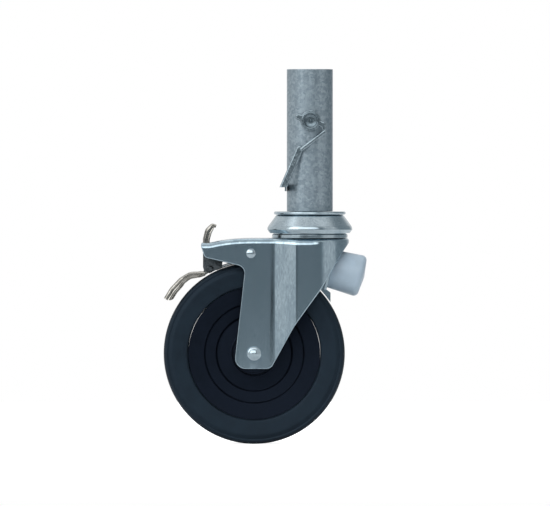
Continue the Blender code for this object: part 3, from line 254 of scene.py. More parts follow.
base = add_node(tree, "ShaderNodeValue")
base.outputs[0].default_value = ROOM_LEVEL
level = base.outputs[0]
for name, az_low, az_high, low, high, soft, added in PANELS:
    low_edge = az_low if az_low > -180.0 else -NO_EDGE
    high_edge = az_high if az_high < 180.0 else NO_EDGE
    across = within(azimuth.outputs[0], low_edge, high_edge, soft)
    upright = within(height.outputs[0], low, high if high < 90.0 else NO_EDGE, soft)
    inside = add_node(tree, "ShaderNodeMath", {0: across, 1: upright}, operation="MULTIPLY")
    lit = add_node(tree, "ShaderNodeMath", {0: inside.outputs[0], 1: added, 2: level},
                   operation="MULTIPLY_ADD", label=name)
    level = lit.outputs[0]
ray = add_node(tree, "ShaderNodeLightPath")
shown = add_node(tree, "ShaderNodeMix", {0: ray.outputs["Is Camera Ray"], 2: level, 3: 1.0})
bright = add_node(tree, "ShaderNodeMapRange",
                  {"Value": shown.outputs[0], "From Min": ROOM_LEVEL, "From Max": BRIGHT_LEVEL})
hue = add_node(tree, "ShaderNodeMix",
               {0: bright.outputs[0], 6: linear(DIM_TINT), 7: linear(BRIGHT_TINT)}, data_type="RGBA")
room = add_node(tree, "ShaderNodeBackground", {"Color": hue.outputs[2], "Strength": shown.outputs[0]})
add_node(tree, "ShaderNodeOutputWorld", {"Surface": room.outputs[0]})
print("nodes in the room:", len(tree.nodes))

# %% One lamp for the shadow
KEY_WATTS = 6.0
LAMP_SIZE = (1.4, 1.0)
LAMP_PLACE, LAMP_AIM = Vector((-0.25, -0.35, 1.9)), Vector((-0.03, 0.0, -0.1))

lamp_data = bpy.data.lights.new("overhead_box", "AREA")
lamp_data.shape = "RECTANGLE"
lamp_data.size, lamp_data.size_y = LAMP_SIZE
lamp_data.energy = KEY_WATTS
lamp = bpy.data.objects.new("overhead_box", lamp_data)
lamp.location = LAMP_PLACE
lamp.rotation_euler = (LAMP_AIM - LAMP_PLACE).to_track_quat("-Z", "Y").to_euler()
lamp.visible_camera = False
lamp.visible_glossy = False            # the metal mirrors the painted room alone
bpy.context.scene.collection.objects.link(lamp)
print("key lamp:", KEY_WATTS, "W")


# %% [markdown]
# ## Zinc, nickel and steel
# Nearly every piece is steel under a thin coat, and each coat is mixed from
# the same few things: a pale and a dark tone that drift into each other over
# a patch, a fine grain that breaks the gloss, and a height that tips the
# reflections a little. One function makes them, from sizes in millimetres.
# Real grain is finer than a pixel here, so it is drawn as coarse as it shows.

# %% Plated steel
NOISE_LOW, NOISE_HIGH = 0.75, 1.25     # what two noises add up to, nearly always


def plated_steel(name, pale, dark, gloss, patch_mm, grain_mm, relief_mm, stretch=(1.0, 1.0, 1.0)):
    """Metal with patches of two tones and a fine grain; gloss is (smoothest, roughest)."""
    material, tree, shader = new_material(name)
    place = add_node(tree, "ShaderNodeTexCoord")
    turned = add_node(tree, "ShaderNodeMapping", {"Vector": place.outputs["Object"], "Scale": stretch})
    patch = add_node(tree, "ShaderNodeTexNoise",
                     {"Vector": turned.outputs[0], "Scale": 1000.0 / patch_mm, "Detail": 3.0})
    grain = add_node(tree, "ShaderNodeTexNoise",
                     {"Vector": turned.outputs[0], "Scale": 1000.0 / grain_mm, "Detail": 2.0})
    both = add_node(tree, "ShaderNodeMath", {0: patch.outputs["Fac"], 1: grain.outputs["Fac"]},
                    operation="ADD")
    tone = add_node(tree, "ShaderNodeMapRange",
                    {"Value": both.outputs[0], "From Min": NOISE_LOW, "From Max": NOISE_HIGH})
    colour = add_node(tree, "ShaderNodeMix", {0: tone.outputs[0], 6: linear(dark), 7: linear(pale)},
                      data_type="RGBA")
    rough = add_node(tree, "ShaderNodeMapRange",
                     {"Value": both.outputs[0], "From Min": NOISE_LOW, "From Max": NOISE_HIGH,
                      "To Min": gloss[1], "To Max": gloss[0]})
    bump = add_node(tree, "ShaderNodeBump",
                    {"Height": grain.outputs["Fac"], "Distance": relief_mm / 1000.0, "Strength": 0.6})
    tree.links.new(colour.outputs[2], shader.inputs["Base Color"])
    tree.links.new(rough.outputs[0], shader.inputs["Roughness"])
    tree.links.new(bump.outputs[0], shader.inputs["Normal"])
    shader.inputs["Metallic"].default_value = 1.0
    return material


# Pressed sheet, zinc plated and blued: half bright, with long faint drawing marks.
PRESSED_ZINC = plated_steel("zinc_plated_pressed_sheet", "acbfc9", "8fa2ae",
                            (0.12, 0.20), 13.0, 1.6, 0.003, stretch=(1.0, 1.0, 0.3))
# Turned and pressed fittings in bright zinc: cleaner and paler than the fork.
BRIGHT_ZINC = plated_steel("bright_zinc_plated_steel", "b4c3cb", "9fafb8", (0.16, 0.23), 12.0, 1.4, 0.004)
# Nickel over rough blanked steel: a warm tint and a lumpy skin.
NICKEL = plated_steel("nickel_plated_pressed_steel", "b5b3ad", "84827c", (0.12, 0.22), 7.0, 2.4, 0.02)
# The brake's strip is near white and dull: its tone, paler than bare steel, is a painted highlight for the
# bright strip along its edge.
STRIP_STEEL_PAINTED_HIGHLIGHT = plated_steel("steel_strip_painted_highlight", "eef3f6", "d3dbe0", (0.42, 0.55), 10.0, 1.0, 0.01)
# Side plates left in their dark rolled skin, slightly oily.
DARK_STEEL = plated_steel("black_oxide_rolled_steel", "5a6064", "33383b", (0.35, 0.5), 9.0, 1.2, 0.02)
# Ground and polished bearing balls: nearly a mirror.
BALL_STEEL = plated_steel("ground_bearing_steel", "c9ccd0", "b4b8bd", (0.08, 0.14), 6.0, 0.8, 0.002)
# Hard drawn spring wire, oil tempered to a brown black.
SPRING_STEEL = plated_steel("oil_tempered_spring_wire", "4a4742", "2c2a28", (0.28, 0.42), 5.0, 0.8, 0.01)
plated = [PRESSED_ZINC, BRIGHT_ZINC, NICKEL, STRIP_STEEL_PAINTED_HIGHLIGHT, DARK_STEEL, BALL_STEEL, SPRING_STEEL]
print("plated finishes:", [material.name for material in plated])


# %% [markdown]
# ## Hot-dip galvanising
# The stem was dipped in molten zinc, which freezes in crystals a few
# millimetres across. Each crystal mirrors the room at its own angle, so the
# tube looks mottled. Voronoi cells stand for the crystals: every cell has its
# own tone and gloss, and a finer noise gives the dull skin over them.

# %% Galvanised skin
SPANGLE_MM = 2.6
SKIN_MM = 0.9
SKIN_SHARE = 0.62                      # of the tone that comes from the dull skin
EDGE_WAVE_MM, EDGE_SHIFT_MM = 2.5, 1.8  # crystals have crooked edges
DULL_METAL = 0.85                      # the oxide skin scatters a little light


def galvanised(name, pale, dark, gloss, relief_mm):
    """Zinc crystals under a dull skin; gloss is (smoothest, roughest)."""
    material, tree, shader = new_material(name)
    place = add_node(tree, "ShaderNodeTexCoord")
    bend = add_node(tree, "ShaderNodeTexNoise",
                    {"Vector": place.outputs["Object"], "Scale": 1000.0 / EDGE_WAVE_MM})
    shift = add_node(tree, "ShaderNodeVectorMath",
                     {0: bend.outputs["Color"], "Scale": EDGE_SHIFT_MM / 1000.0}, operation="SCALE")
    moved = add_node(tree, "ShaderNodeVectorMath", {0: place.outputs["Object"], 1: shift.outputs[0]},
                     operation="ADD")
    cells = add_node(tree, "ShaderNodeTexVoronoi", {"Vector": moved.outputs[0], "Scale": 1000.0 / SPANGLE_MM})
    cell = add_node(tree, "ShaderNodeSeparateColor", {"Color": cells.outputs["Color"]})
    skin = add_node(tree, "ShaderNodeTexNoise",
                    {"Vector": place.outputs["Object"], "Scale": 1000.0 / SKIN_MM, "Detail": 4.0})
    mixed = add_node(tree, "ShaderNodeMix", {0: SKIN_SHARE, 2: cell.outputs[0], 3: skin.outputs["Fac"]})
    tone = add_node(tree, "ShaderNodeMapRange",
                    {"Value": mixed.outputs[0], "From Min": 0.25, "From Max": 0.75})
    colour = add_node(tree, "ShaderNodeMix", {0: tone.outputs[0], 6: linear(dark), 7: linear(pale)},
                      data_type="RGBA")
    rough = add_node(tree, "ShaderNodeMapRange",
                     {"Value": cell.outputs[1], "To Min": gloss[0], "To Max": gloss[1]})
    bump = add_node(tree, "ShaderNodeBump",
                    {"Height": skin.outputs["Fac"], "Distance": relief_mm / 1000.0, "Strength": 0.7})
    tree.links.new(colour.outputs[2], shader.inputs["Base Color"])
    tree.links.new(rough.outputs[0], shader.inputs["Roughness"])
    tree.links.new(bump.outputs[0], shader.inputs["Normal"])
    shader.inputs["Metallic"].default_value = DULL_METAL
    return material


# The tube's skin is the dullest, so it shows its crystals and hardly mirrors.
GALVANISED_TUBE = galvanised("hot_dip_galvanised_tube", "9eadb6", "7b8a94", (0.34, 0.5), 0.05)
# The latch was dipped too. The pin's head is the same zinc made darker: painted shade for the shadow in its
# dish.
GALVANISED_FITTING = galvanised("hot_dip_galvanised_fitting", "98a7af", "75838b", (0.16, 0.28), 0.012)
GALVANISED_PIN_PAINTED_SHADE = galvanised("galvanised_pin_painted_shade", "7b8a92", "5c6a72", (0.18, 0.30), 0.012)
print("spangle:", SPANGLE_MM, "mm")


# %% [markdown]
# ## Rubber and moulded plastics
# The tyre is black rubber straight from its mould: almost no colour, a soft
# sheen at the shoulder and a dusty bloom. The wheel centre is a harder black
# plastic, and the spring cap a milky white one that is a little soft to light.

# %% Moulded finishes
def moulded(name, pale, dark, gloss, patch_mm, grain_mm, relief_mm):
    """A non-metal with a slight drift of tone and its mould's texture; also returns the shader."""
    material, tree, shader = new_material(name)
    place = add_node(tree, "ShaderNodeTexCoord")
    patch = add_node(tree, "ShaderNodeTexNoise",
                     {"Vector": place.outputs["Object"], "Scale": 1000.0 / patch_mm, "Detail": 4.0})
    grain = add_node(tree, "ShaderNodeTexNoise",
                     {"Vector": place.outputs["Object"], "Scale": 1000.0 / grain_mm, "Detail": 2.0})
    tone = add_node(tree, "ShaderNodeMapRange",
                    {"Value": patch.outputs["Fac"], "From Min": 0.35, "From Max": 0.65})
    colour = add_node(tree, "ShaderNodeMix", {0: tone.outputs[0], 6: linear(dark), 7: linear(pale)},
                      data_type="RGBA")
    rough = add_node(tree, "ShaderNodeMapRange",
                     {"Value": patch.outputs["Fac"], "From Min": 0.3, "From Max": 0.7,
                      "To Min": gloss[0], "To Max": gloss[1]})
    bump = add_node(tree, "ShaderNodeBump",
                    {"Height": grain.outputs["Fac"], "Distance": relief_mm / 1000.0, "Strength": 0.5})
    tree.links.new(colour.outputs[2], shader.inputs["Base Color"])
    tree.links.new(rough.outputs[0], shader.inputs["Roughness"])
    tree.links.new(bump.outputs[0], shader.inputs["Normal"])
    return material, shader


# Tyre rubber: a bloom of wax greys its sheen, and the sheen is faint and bluish.
RUBBER, shader = moulded("moulded_black_rubber", "121c24", "0b131a", (0.48, 0.60), 18.0, 1.2, 0.03)
shader.inputs["Specular IOR Level"].default_value = 0.38
shader.inputs["Specular Tint"].default_value = linear("b4d2f0")
# Filled polyamide: deeper black than the rubber and hardly glossy.
POLYAMIDE, shader = moulded("moulded_black_polyamide", "080c14", "05080e", (0.42, 0.52), 14.0, 0.9, 0.012)
shader.inputs["Specular IOR Level"].default_value = 0.22
shader.inputs["Specular Tint"].default_value = linear("a9c4ee")
# Undyed polyethylene: milky, because light goes a few millimetres into it. Its tone is white darkened to
# grey-blue: painted shade.
POLYETHYLENE_PAINTED_SHADE, shader = moulded("white_polyethylene_painted_shade", "a9bccb", "9eb0be",
                               (0.36, 0.46), 16.0, 1.4, 0.02)
shader.inputs["Subsurface Weight"].default_value = 0.15
shader.inputs["Subsurface Radius"].default_value = (0.004, 0.004, 0.004)
print("moulded finishes:", RUBBER.name, POLYAMIDE.name, POLYETHYLENE_PAINTED_SHADE.name)


# %% [markdown]
# ## Tools for meshes
# Most pieces are turned or pressed, so their shape is a line: a section that
# goes round an axis, or an outline that is cut from sheet. `rounded` turns a
# few corners with radii into a smooth line, `lathe` spins a section, and
# `add_piece` rounds the sharp edges, shades the mesh, gives it its finish and
# ties it to its body. Its normals lean to the larger faces, so that flat
# sheet looks flat right up to a bend.

# %% Rounded lines
def arc(centre, radius, start_deg, end_deg, steps):
    """Points along an arc, both ends included."""
    turns = [math.radians(start_deg + (end_deg - start_deg) * i / steps) for i in range(steps + 1)]
    return [(centre[0] + radius * math.cos(t), centre[1] + radius * math.sin(t)) for t in turns]


def rounded(corners, closed=True, step_deg=7.5):
    """Corners (a, b, radius) to points, with an arc at each corner."""
    points = []
    for i, (a, b, radius) in enumerate(corners):
        if radius <= 0.0 or (not closed and i in (0, len(corners) - 1)):
            points.append((a, b))
            continue
        here = Vector((a, b))
        back = (Vector(corners[i - 1][:2]) - here).normalized()
        on = (Vector(corners[(i + 1) % len(corners)][:2]) - here).normalized()
        half = back.angle(on) / 2
        centre = here + (back + on).normalized() * (radius / math.sin(half))
        first = here + back * (radius / math.tan(half)) - centre
        last = here + on * (radius / math.tan(half)) - centre
        turn = math.degrees(math.atan2(first.x * last.y - first.y * last.x, first.dot(last)))
        start = math.degrees(math.atan2(first.y, first.x))
        points += arc(centre, radius, start, start + turn, max(1, math.ceil(abs(turn) / step_deg)))
    return points


corner = rounded([(0.0, 0.0, 0.0), (0.1, 0.0, 0.002), (0.1, 0.1, 0.0)], closed=False)
print("a right-angled corner of 2 mm radius:", len(corner), "points")

# %% Turned and layered solids
ROUND = 128                            # facets of a piece that is wider than 40 mm
FINE = 96                              # facets of a small piece that shows well
SMALL = 48                             # facets of a hole, or of a piece that is out of sight


def lathe(profile, steps=ROUND):
    """Turn a closed section of (radius, height) about Z; ends on the axis close in a point."""
    bm = bmesh.new()
    rings = []
    for radius, height in profile:
        count = 1 if radius < 1e-7 else steps
        turns = [2 * math.pi * k / steps for k in range(count)]
        rings.append([bm.verts.new((radius * math.cos(t), radius * math.sin(t), height)) for t in turns])
    pairs = list(zip(rings, rings[1:]))
    if len(rings[0]) > 1:
        pairs.append((rings[-1], rings[0]))
    for low, high in pairs:
        for k in range(steps):
            n = (k + 1) % steps
            ring = [low[k % len(low)], low[n % len(low)], high[n % len(high)], high[k % len(high)]]
            bm.faces.new(list(dict.fromkeys(ring)))
    return bm


def along_y(bm, x, z):
    """Stand a turned mesh on an axis that runs along +Y."""
    bm.transform(Matrix.Translation((x, 0.0, z)) @ Matrix.Rotation(-math.pi / 2, 4, "X"))
    return bm


def loft(bm, rings):
    """Walls from each ring of vertices to the next, and an end on the first ring."""
    for low, high in zip(rings, rings[1:]):
        for i in range(len(low)):
            k = (i + 1) % len(low)
            bm.faces.new([low[i], low[k], high[k], high[i]])
    bm.faces.new(list(reversed(rings[0])))


disc = lathe([(0.0, 0.0), (0.02, 0.0), (0.02, 0.002), (0.0, 0.002)], SMALL)
print("a turned disc:", len(disc.faces), "faces,", round(disc.calc_volume() * 1e9), "cubic mm")
disc.free()

# %% Finished pieces
WIDE_EDGE_MM = 1.15                    # edges this wide run past the short facets of a bend


def solid_object(name, bm):
    """An object whose faces are turned outwards; the bmesh is used up."""
    bmesh.ops.recalc_face_normals(bm, faces=bm.faces)
    if bm.calc_volume(signed=True) < 0.0:
        bmesh.ops.reverse_faces(bm, faces=bm.faces)
    mesh = bpy.data.meshes.new(name)
    bm.to_mesh(mesh)
    bm.free()
    obj = bpy.data.objects.new(name, mesh)
    bpy.context.scene.collection.objects.link(obj)
    return obj


def modified(obj):
    """Swap an object's mesh for what its modifiers make of it."""
    old = obj.data
    obj.data = bpy.data.meshes.new_from_object(obj.evaluated_get(bpy.context.evaluated_depsgraph_get()))
    obj.modifiers.clear()
    bpy.data.meshes.remove(old)
    return obj.data


def add_piece(name, bm, material, body, replaced=(), sharp_deg=32.0, edge_mm=0.0):
    """A mesh in world coordinates as a finished piece of one body."""
    obj = solid_object(name, bm)
    mesh = obj.data
    if edge_mm:
        bevel = obj.modifiers.new("edge", "BEVEL")
        bevel.width, bevel.segments = edge_mm / 1000.0, 3
        bevel.limit_method, bevel.angle_limit = "ANGLE", math.radians(sharp_deg)
        bevel.use_clamp_overlap = edge_mm < WIDE_EDGE_MM
        mesh = modified(obj)
    mesh.shade_smooth()
    mesh.set_sharp_from_angle(angle=math.radians(sharp_deg))
    even = obj.modifiers.new("even", "WEIGHTED_NORMAL")
    even.keep_sharp = True
    mesh = modified(obj)
    mesh.name = name
    mesh.materials.clear()
    mesh.materials.append(material)
    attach(obj, body)
    if replaced:
        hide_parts(*replaced)
    print(name, len(mesh.polygons), "faces")


print("edges from", WIDE_EDGE_MM, "mm aren't held back by short facets")


# %% [markdown]
# ## Stem tube and flange
# The stem is a plain 50.8 mm tube with a cross hole for the lock pin, and it
# is welded to a round flange. A lathe section gives each piece a small
# radius at its edges, which catches the light as a dipped edge does, and a
# Boolean drills the hole.

# %% Sections, rods and Booleans
MERGE = 2e-6                           # a Boolean leaves doubled points closer than this
EDGE_STEP_DEG = 22.5                   # four facets round a small edge
ROD_EDGE = 0.0003


def combined(bm, tool, operation="DIFFERENCE"):
    """Cut, join or cross one mesh with another and return the result."""
    work, cutter = solid_object("work", bm), solid_object("tool", tool)
    modifier = work.modifiers.new("combine", "BOOLEAN")
    modifier.operation, modifier.object, modifier.solver = operation, cutter, "EXACT"
    result = bmesh.new()
    result.from_object(work, bpy.context.evaluated_depsgraph_get())
    bmesh.ops.remove_doubles(result, verts=result.verts, dist=MERGE)
    for obj in (work, cutter):
        mesh = obj.data
        bpy.data.objects.remove(obj, do_unlink=True)
        bpy.data.meshes.remove(mesh)
    return result


def ring_section(inner_r, outer_r, low, high, edge):
    """A square section with the same small radius on all four edges."""
    corners = [(inner_r, low), (outer_r, low), (outer_r, high), (inner_r, high)]
    return rounded([(r, z, edge) for r, z in corners], step_deg=EDGE_STEP_DEG)


def rod(radius, low, high):
    """A solid rod along Z with softened ends; it cuts the round holes."""
    corners = [(0.0, low, 0.0), (radius, low, ROD_EDGE), (radius, high, ROD_EDGE), (0.0, high, 0.0)]
    return lathe(rounded(corners, closed=False, step_deg=EDGE_STEP_DEG), SMALL)


def prism(outline, low_y, high_y):
    """An outline in X and Z, drawn out along Y."""
    bm = bmesh.new()
    near = [bm.verts.new((x, low_y, z)) for x, z in outline]
    far = [bm.verts.new((x, high_y, z)) for x, z in outline]
    bm.faces.new(near)
    bm.faces.new(list(reversed(far)))
    for i in range(len(outline)):
        k = (i + 1) % len(outline)
        bm.faces.new([near[k], near[i], far[i], far[k]])
    return bm


print("points of a ring's section:", len(ring_section(0.01, 0.02, 0.0, 0.003, ROD_EDGE)))

# %% Turn the stem and the flange
TUBE_R, TUBE_BORE_R, TUBE_EDGE = 0.0254, 0.0222, 0.0005
TUBE_LOW, TUBE_HIGH = 0.0003, 0.1572
FLANGE_R, FLANGE_BORE_R, FLANGE_T, FLANGE_EDGE = 0.03975, 0.0093, 0.0036, 0.00175
LOCK_X, LOCK_Z, LOCK_HOLE_R = 0.0007, 0.1004, 0.006

stem = lathe(ring_section(TUBE_BORE_R, TUBE_R, TUBE_LOW, TUBE_HIGH, TUBE_EDGE))
stem = combined(stem, along_y(rod(LOCK_HOLE_R, -0.04, 0.04), LOCK_X, LOCK_Z))
add_piece("stem_tube_galvanised", stem, GALVANISED_TUBE, "stem", ["stem_tube"])
flange = lathe(ring_section(FLANGE_BORE_R, FLANGE_R, -FLANGE_T, 0.0, FLANGE_EDGE))
add_piece("stem_flange_disc", flange, BRIGHT_ZINC, "stem", ["stem_flange"])


# %% [markdown]
# ## Swivel cup and neck ring
# The cup is a disc of 3 mm sheet that was pressed over the upper balls, so
# its outside bulges and its lip turns back in. Its section is one line of
# corners, and a copy of the line moved in by the sheet's thickness makes the
# inside. The neck ring under it is the fork's ball race.

# %% Turn the cup
CUP_T = 0.003
CUP_LINE = [(0.0093, -0.0039, 0.0), (0.0372, -0.0039, 0.0035), (0.0470, -0.0174, 0.0075),
            (0.0470, -0.0202, 0.0012), (0.0442, -0.0239, 0.0)]


def shifted(corners, distance):
    """An open line of corners moved to its right by a distance."""
    lines = []
    for (a0, b0, _), (a1, b1, _) in zip(corners, corners[1:]):
        along = Vector((a1 - a0, b1 - b0)).normalized()
        lines.append((Vector((a0, b0)) + Vector((along.y, -along.x)) * distance, along))
    result = [(*lines[0][0], 0.0)]
    for i, (a, b, radius) in enumerate(corners[1:-1]):
        (p, u), (q, v) = lines[i], lines[i + 1]
        cross = u.x * v.y - u.y * v.x
        meet = q if abs(cross) < 1e-6 else p + u * (((q - p).x * v.y - (q - p).y * v.x) / cross)
        result.append((*meet, max(radius - distance if cross < 0.0 else radius + distance, 0.0)))
    along = lines[-1][1]
    return result + [(*(Vector(corners[-1][:2]) + Vector((along.y, -along.x)) * distance), 0.0)]


cup = rounded(CUP_LINE, closed=False, step_deg=3.0)
cup += reversed(rounded(shifted(CUP_LINE, CUP_T), closed=False, step_deg=7.5))
add_piece("swivel_cup_pressing", lathe(cup), BRIGHT_ZINC, "stem", ["swivel_cup"])


# %% [markdown]
# ## Fork
# The fork is pressed from 4 mm sheet. Seen from above it is two narrow cheeks
# that fold out to wide shoulders and close in a round nose; seen from the
# side it is a brow over the tyre and a leg down to the axle. The first view
# is drawn down as a block with a rolled top edge, a smaller block makes it
# hollow, and the second view is cut through both.

# %% Sizes of the fork
SEAT = 0.0003                          # between faces that touch
FORK_T = 0.004
CROWN_TOP_Z, CROWN_DIP, CROWN_DIP_POWER = -0.0294, 0.0052, 2.4
DIP_FROM_X, DIP_TO_X = -0.060, -0.110
CHEEK_Y, NOSE_R = 0.035, 0.0434
FOLD_X, SHOULDER_X, FRONT_X = -0.0408, -0.0145, -0.120
FOLD_R, SHOULDER_R = 0.0205, 0.010
EDGE_R_FRONT, EDGE_R_WIDE, EDGE_R_NOSE = 0.0060, 0.0078, 0.003
KINGPIN_HOLE_R = 0.013
NOTCH_X, NOTCH_HALF, NOTCH_R = -0.096, 0.021, 0.006
AXLE_X, AXLE_Z = -0.0614, -0.1566
PIVOT_X, PIVOT_Z = -0.065, -0.046
AXLE_HOLE_R, PIVOT_HOLE_R = 0.0063, 0.0043
# side view: above the crown, down the leg's back, up its front and along the brow
ABOVE = [(FRONT_X, -0.0194, 0.0), (0.0544, -0.0194, 0.0)]
LEG = [(0.0371, -0.0435, 0.030), (0.0134, -0.0841, 0.080), (-0.0173, -0.1267, 0.080),
       (-0.0431, -0.1737, 0.008), (-0.0841, -0.1737, 0.012)]
BROW = [(-0.0715, -0.0613, 0.009), (-0.0963, -0.0552, 0.060), (-0.1159, -0.0508, 0.006),
        (FRONT_X, -0.0390, 0.004)]
print("fork's leg and brow:", len(LEG) + len(BROW), "corners")


# %% Draw the fork's block
CHEEK_STEPS = 24                       # so that the crown's fall is smooth


def crown_top(x):
    """Height of the crown, which falls a little towards the pedal."""
    share = (DIP_FROM_X - x) / (DIP_FROM_X - DIP_TO_X)
    return CROWN_TOP_Z - CROWN_DIP * min(1.0, max(0.0, share)) ** CROWN_DIP_POWER


def crown_edge(x):
    """Radius of the crown's rolled edge, widest at the shoulders."""
    if x < SHOULDER_X:
        share = max(0.0, (x - FOLD_X) / (SHOULDER_X - FOLD_X))
        return EDGE_R_FRONT + (EDGE_R_WIDE - EDGE_R_FRONT) * share
    return EDGE_R_WIDE + (EDGE_R_NOSE - EDGE_R_WIDE) * max(0.0, x) / NOSE_R


def fork_block(inset, front_x, base_z):
    """The plan drawn down from the crown, with its top edge rolled over."""
    plan = [(front_x, CHEEK_Y, 0.0), (FOLD_X, CHEEK_Y, FOLD_R), (SHOULDER_X, NOSE_R, SHOULDER_R),
            (0.0, NOSE_R, 0.0)]
    path = rounded(shifted(plan, inset), closed=False, step_deg=2.0)
    (x0, y0), (x1, _) = path[:2]
    half = [(x0 + (x1 - x0) * i / CHEEK_STEPS, y0) for i in range(CHEEK_STEPS)]
    half += path[1:-1] + arc((0.0, 0.0), NOSE_R - inset, 90.0, 0.0, 30)
    outline = [Vector((x, -y)) for x, y in half] + [Vector((x, y)) for x, y in reversed(half[:-1])]
    last = len(outline) - 1
    bm = bmesh.new()
    rings = [[bm.verts.new((*p, base_z)) for p in outline]]
    for step in range(10):
        turn = math.radians(10.0 * step)
        ring = []
        for i, p in enumerate(outline):
            along = outline[min(i + 1, last)] - outline[max(i - 1, 0)]
            radius = max(crown_edge(p.x) - inset, SEAT)
            q = p + Vector((-along.y, along.x)).normalized() * radius * (1.0 - math.cos(turn))
            ring.append(bm.verts.new((*q, crown_top(p.x) - inset - radius * (1.0 - math.sin(turn)))))
        rings.append(ring)
    loft(bm, rings)
    top = rings[-1]
    for i in range(last // 2):
        bm.faces.new(list(dict.fromkeys([top[i], top[i + 1], top[last - i - 1], top[last - i]])))
    bmesh.ops.triangulate(bm, faces=[face for face in bm.faces if abs(face.normal.z) > 0.001])
    return bm


print("the crown falls", round((crown_top(0.0) - crown_top(FRONT_X)) * 1000, 1), "mm to the front")

# %% Cut the fork out
fork = combined(fork_block(0.0, FRONT_X - FORK_T, -0.19), fork_block(FORK_T, FRONT_X - 3 * FORK_T, -0.195))
side = rounded(ABOVE + LEG + BROW, step_deg=4.0)
fork = combined(fork, prism(side, -0.08, 0.08), "INTERSECT")
notch = prism(rounded([(FRONT_X - FORK_T, -NOTCH_HALF, 0.0), (NOTCH_X, -NOTCH_HALF, NOTCH_R),
                       (NOTCH_X, NOTCH_HALF, NOTCH_R), (FRONT_X - FORK_T, NOTCH_HALF, 0.0)]), -0.02, 0.02)
notch.transform(Matrix.Translation((0.0, 0.0, CROWN_TOP_Z)) @ Matrix.Rotation(math.pi / 2, 4, "X"))
fork = combined(fork, notch)
fork = combined(fork, rod(KINGPIN_HOLE_R, CROWN_TOP_Z - 0.010, CROWN_TOP_Z + 0.010))
for hole_r, x, z in ((AXLE_HOLE_R, AXLE_X, AXLE_Z), (PIVOT_HOLE_R, PIVOT_X, PIVOT_Z)):
    fork = combined(fork, along_y(rod(hole_r, -0.09, 0.09), x, z))
add_piece("pressed_fork", fork, PRESSED_ZINC, "fork", ["fork"], edge_mm=1.2)


# %% [markdown]
# ## Pedal levers
# The foot lever and the release finger are channels pressed from thin sheet:
# a roof and two flanges with a rounded edge, a drawn groove and a bead along
# each flange. One section follows the lever's upper line, so the groove and
# the bead run round its bends, and the section grows deeper on the way.
# Points of the pedal are degrees round the axle and height over the tread.

# %% Lines of the two channels
WHEEL_R = 0.100
FOOT_LINE = [(-31.0, 0.0056, 0.0), (-38.57, 0.01485, 0.016), (-44.83, 0.01717, 0.014),
             (-52.24, 0.01775, 0.014), (-58.55, 0.01700, 0.0)]
FINGER_LINE = [(-28.96, 0.01669, 0.0), (-24.16, 0.03876, 0.012), (-21.53, 0.04739, 0.008),
               (-18.08, 0.05116, 0.004), (-16.35, 0.0478, 0.0)]


def over_tread(points):
    """Points given by degrees and height over the tread, in X and Z."""
    placed = []
    for degrees, height, *radius in points:
        turn = math.radians(degrees)
        reach = WHEEL_R + height
        placed.append((AXLE_X + reach * math.sin(turn), AXLE_Z + reach * math.cos(turn), *radius))
    return placed


print("foot plate's tip at", [round(v, 4) for v in over_tread(FOOT_LINE)[-1][:2]])

# %% Draw a channel along a line
SWEEP_STEP = 0.0012


def at_share(values, share):
    """A value from evenly spaced values, at a share of the way."""
    place = share * (len(values) - 1)
    i = min(int(place), len(values) - 2)
    return values[i] + (values[i + 1] - values[i]) * (place - i)


def swept(line, depths, half, sheet, side_line, turn):
    """Draw a channel along a line.

    A point of side_line is a share of the depth and how far in from the widest
    place; turn is 1 or -1, the side of the line that the hollow is on.
    """
    path = [Vector(p) for p in rounded(line, closed=False, step_deg=5.0)]
    fine = [path[0]]
    for p, q in zip(path, path[1:]):
        count = max(1, round((q - p).length / SWEEP_STEP))
        fine += [p.lerp(q, (i + 1) / count) for i in range(count)]
    total = sum((q - p).length for p, q in zip(fine, fine[1:]))
    bm = bmesh.new()
    rings, gone = [], 0.0
    for i, p in enumerate(fine):
        if i:
            gone += (p - fine[i - 1]).length
        along = (fine[min(i + 1, len(fine) - 1)] - fine[max(i - 1, 0)]).normalized()
        down = Vector((-along.y, along.x)) * turn
        depth = at_share(depths, gone / total)
        section = [(half - inset, share * depth) for share, inset in side_line]
        section += [(half - sheet, depth), (half - sheet, sheet)]
        loop = section + [(-y, d) for y, d in reversed(section)]
        rings.append([bm.verts.new((p.x + down.x * d, y, p.y + down.y * d)) for y, d in loop])
    loft(bm, rings)
    bm.faces.new(rings[-1])
    return bm


print("a section every", SWEEP_STEP * 1000, "mm")

# %% Sweep the foot plate and the finger
FOOT_HALF, FOOT_ROOF_T, FINGER_HALF, FINGER_ROOF_T = 0.0213, 0.0026, 0.0149, 0.0024
FOOT_DEPTHS = [0.0050, 0.0072, 0.0075, 0.0092, 0.0096, 0.0094]
FINGER_DEPTHS = [0.0066, 0.0068, 0.0076, 0.0078, 0.0032]
# each side: the roof's rolled edge, plain flange, groove, bead and inner edge
FOOT_SIDE = [(0.0, 0.0030), (0.03, 0.0018), (0.09, 0.0009), (0.19, 0.0003), (0.33, 0.0002), (0.40, 0.0003),
             (0.43, 0.0013), (0.48, 0.0013), (0.51, 0.0004), (0.58, 0.0), (0.72, 0.0), (0.80, 0.0003),
             (0.84, 0.0013), (0.90, 0.0013), (0.94, 0.0006), (1.0, 0.0008)]
FINGER_SIDE = [(0.0, 0.0020), (0.04, 0.0010), (0.12, 0.0004), (0.24, 0.0003), (0.32, 0.0), (0.38, 0.0),
               (0.42, 0.0013), (0.72, 0.0013), (0.77, 0.0002), (0.86, 0.0), (0.95, 0.0003), (1.0, 0.0009)]
foot = swept(over_tread(FOOT_LINE), FOOT_DEPTHS, FOOT_HALF, FOOT_ROOF_T, FOOT_SIDE, 1.0)
finger = swept(over_tread(FINGER_LINE), FINGER_DEPTHS, FINGER_HALF, FINGER_ROOF_T, FINGER_SIDE, -1.0)
print("foot plate:", len(foot.faces), "faces, finger:", len(finger.faces), "faces")

